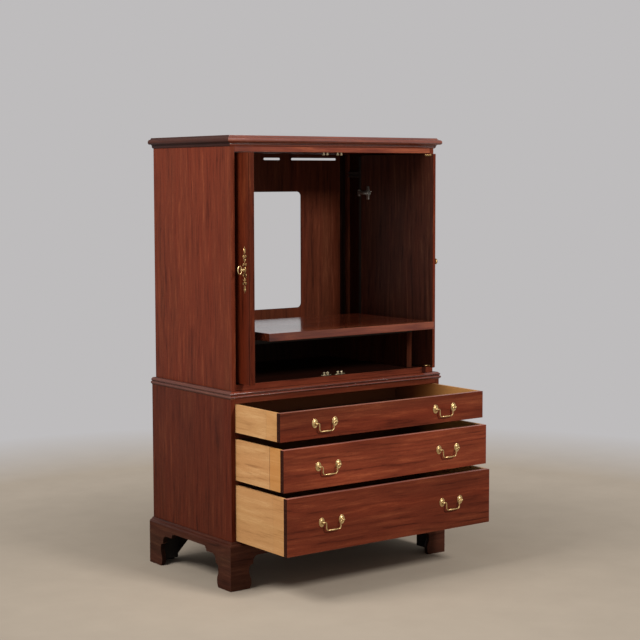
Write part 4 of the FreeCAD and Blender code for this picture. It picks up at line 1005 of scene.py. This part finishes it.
def door_hardware():
    """The two hinges of each door as one piece, and its two strikes as another."""
    for side, sign in (("left", -1), ("right", 1)):
        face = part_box(f"{side}_door_panel")
        inner = sign * min(abs(face[0].x), abs(face[1].x))
        cup = face[1].y - CUP_FROM_REAR * MM
        hinges = pair_on_door(hinge, f"{side}_door_hinges", WING_HIGH / 2, sign, inner, cup)
        piece(f"{side}_door_cup_hinges", hinges, f"{side}_door", METALS["nickel"],
              f"{side}_door_hinges")
        low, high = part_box(f"{side}_door_strikes")
        middle = (low.y + high.y) / 2
        strikes = pair_on_door(strike, f"{side}_door_strikes", STRIKE_WIDE / 2, sign, inner, middle)
        piece(f"{side}_door_strike_plates", strikes, f"{side}_door", METALS["brass"],
              f"{side}_door_strikes")


def catches():
    """The four double catches: a lower pair that faces up and an upper pair that faces down."""
    low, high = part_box("ball_catches")
    mesh = bmesh.new()
    for side in (-1, 1):
        x = side * (high.x - CATCH_LONG / 2 * MM)
        y = (low.y + high.y) / 2
        merge(mesh, catch(), Matrix.Translation((x, y, low.z)))
        merge(mesh, catch(), facing((x, y, high.z), (0, 0, -1), (0, 1, 0)))
    piece("twin_ball_catches", mesh, "case", METALS["catch"], "ball_catches")


# ---------------------------------------------------------------- floor, light and camera

BACKDROP = (0.515, 0.503, 0.508)
FLOOR, FLOOR_FLECK = (0.42, 0.355, 0.285), (0.36, 0.31, 0.26)
FLOOR_RADIUS, FLOOR_DROP = 3.7, 0.0005
FLOOR_HOLD, FLOOR_FADE = (0.7, 2.0), (2.3, 3.6)     # from the origin, where each sets in and is full
AMBIENT, AMBIENT_COLOUR = 0.29, (1, 0.985, 0.965, 1)
LIGHT_COLOUR = (1, 0.98, 0.95)
# Each light's place, the point it looks at, its width and height, and watts.
LIGHTS = {
    "side_light": ((-2.75, -0.15, 2.95), (-0.5, 0.0, 1.3), (1.6, 1.2), 94),
    "front_light": ((0.65, -4.30, 3.25), (0, -0.3, 1.0), (0.9, 0.9), 190),
    "fill_light": ((-2.5, -3.6, 1.1), (0, -0.2, 0.5), (1.8, 1.2), 9),
}
# The camera, fitted to the photo: angles in degrees, lens in mm, shifts in shares of the width.
YAW, PITCH, ROLL = 36.51, 4.95, -0.14
LENS, SHIFT_X, SHIFT_Y = 87.65, 0.00636, -0.0115
EYE = (-3.7019, FRONT - 4.8426, 1.5561)


def stage():
    """A pale floor that holds its tone with distance and fades into the world's plain backdrop colour."""
    shader = material_shader("studio_floor")
    place = shader.place()
    mottle = shader.remap(shader.noise(place, 5.0, 4.0, 0.6), 0.3, 0.7)
    fleck = shader.remap(shader.noise(place, 160.0, 2.0, 0.6), 0.3, 0.7, 0.0, 0.12)
    colour = shader.mix(mottle, tuple(c * 0.94 for c in FLOOR), FLOOR)
    colour = shader.mix(fleck, colour, FLOOR_FLECK)
    diffuse = shader.add("ShaderNodeBsdfDiffuse", {"Color": colour})
    level = shader.add("ShaderNodeEmission", {"Color": colour, "Strength": 1.0})
    clear = shader.add("ShaderNodeBsdfTransparent")
    reach = shader.add("ShaderNodeVectorMath", {0: place}, operation="LENGTH").outputs["Value"]
    seen = shader.add("ShaderNodeLightPath").outputs["Is Camera Ray"]
    far = shader.times(shader.remap(reach, *FLOOR_HOLD), seen)
    held = shader.blend(far, diffuse, level)
    faded = shader.blend(shader.remap(reach, *FLOOR_FADE), held, clear)
    mesh = bpy.data.meshes.new("studio_floor")
    sheet = bmesh.new()
    bmesh.ops.create_circle(sheet, cap_ends=True, segments=96, radius=FLOOR_RADIUS)
    sheet.to_mesh(mesh)
    sheet.free()
    floor = bpy.data.objects.new("studio_floor", mesh)
    floor.location.z = -FLOOR_DROP
    mesh.materials.append(shader.finish(faded))
    bpy.context.scene.collection.objects.link(floor)


def world():
    """Even ambient light, with the plain backdrop shown to the camera, to gloss and to glass."""
    shader = Shader(bpy.data.worlds.new("studio"), "ShaderNodeOutputWorld")
    rays = shader.add("ShaderNodeLightPath").outputs
    seen = shader.math("MAXIMUM", rays["Is Camera Ray"], rays["Is Glossy Ray"])
    seen = shader.math("MAXIMUM", seen, rays["Is Transmission Ray"])
    light = shader.add("ShaderNodeBackground", {"Color": AMBIENT_COLOUR, "Strength": AMBIENT})
    shown = shader.add("ShaderNodeBackground", {"Color": (*BACKDROP, 1), "Strength": 1.0})
    bpy.context.scene.world = shader.finish(shader.blend(seen, light, shown))


def softbox(name, place, target, size, watts):
    data = bpy.data.lights.new(name, "AREA")
    data.shape = "RECTANGLE"
    data.size, data.size_y = size
    data.energy = watts
    data.color = LIGHT_COLOUR
    lamp = bpy.data.objects.new(name, data)
    lamp.location = place
    lamp.rotation_euler = (Vector(target) - Vector(place)).to_track_quat("-Z", "Y").to_euler()
    bpy.context.scene.collection.objects.link(lamp)


def camera():
    """A long lens a little above the waist, turned to the armoire's left front corner."""
    yaw, pitch, roll = (math.radians(angle) for angle in (YAW, PITCH, ROLL))
    ahead = Vector((math.sin(yaw) * math.cos(pitch), math.cos(yaw) * math.cos(pitch), -math.sin(pitch)))
    right = Vector((math.cos(yaw), -math.sin(yaw), 0))
    up = right.cross(ahead)
    right, up = (math.cos(roll) * right + math.sin(roll) * up,
                 math.cos(roll) * up - math.sin(roll) * right)
    data = bpy.data.cameras.new("camera")
    data.sensor_fit = "HORIZONTAL"
    data.sensor_width = 36.0
    data.lens = LENS
    data.shift_x, data.shift_y = SHIFT_X, SHIFT_Y
    eye = bpy.data.objects.new("camera", data)
    turn = Matrix((right, up, -ahead)).transposed().to_4x4()
    eye.matrix_world = Matrix.Translation(EYE) @ turn
    bpy.context.scene.collection.objects.link(eye)
    bpy.context.scene.camera = eye


# ---------------------------------------------------------------- the whole

dress_case()
dress_inside()
dress_doors()
dress_drawers()
dress_fittings()
drawer_pulls()
door_furniture()
door_hardware()
catches()
stage()
world()
for light, setting in LIGHTS.items():
    softbox(light, *setting)
camera()
bpy.context.scene.view_settings.view_transform = "Standard"
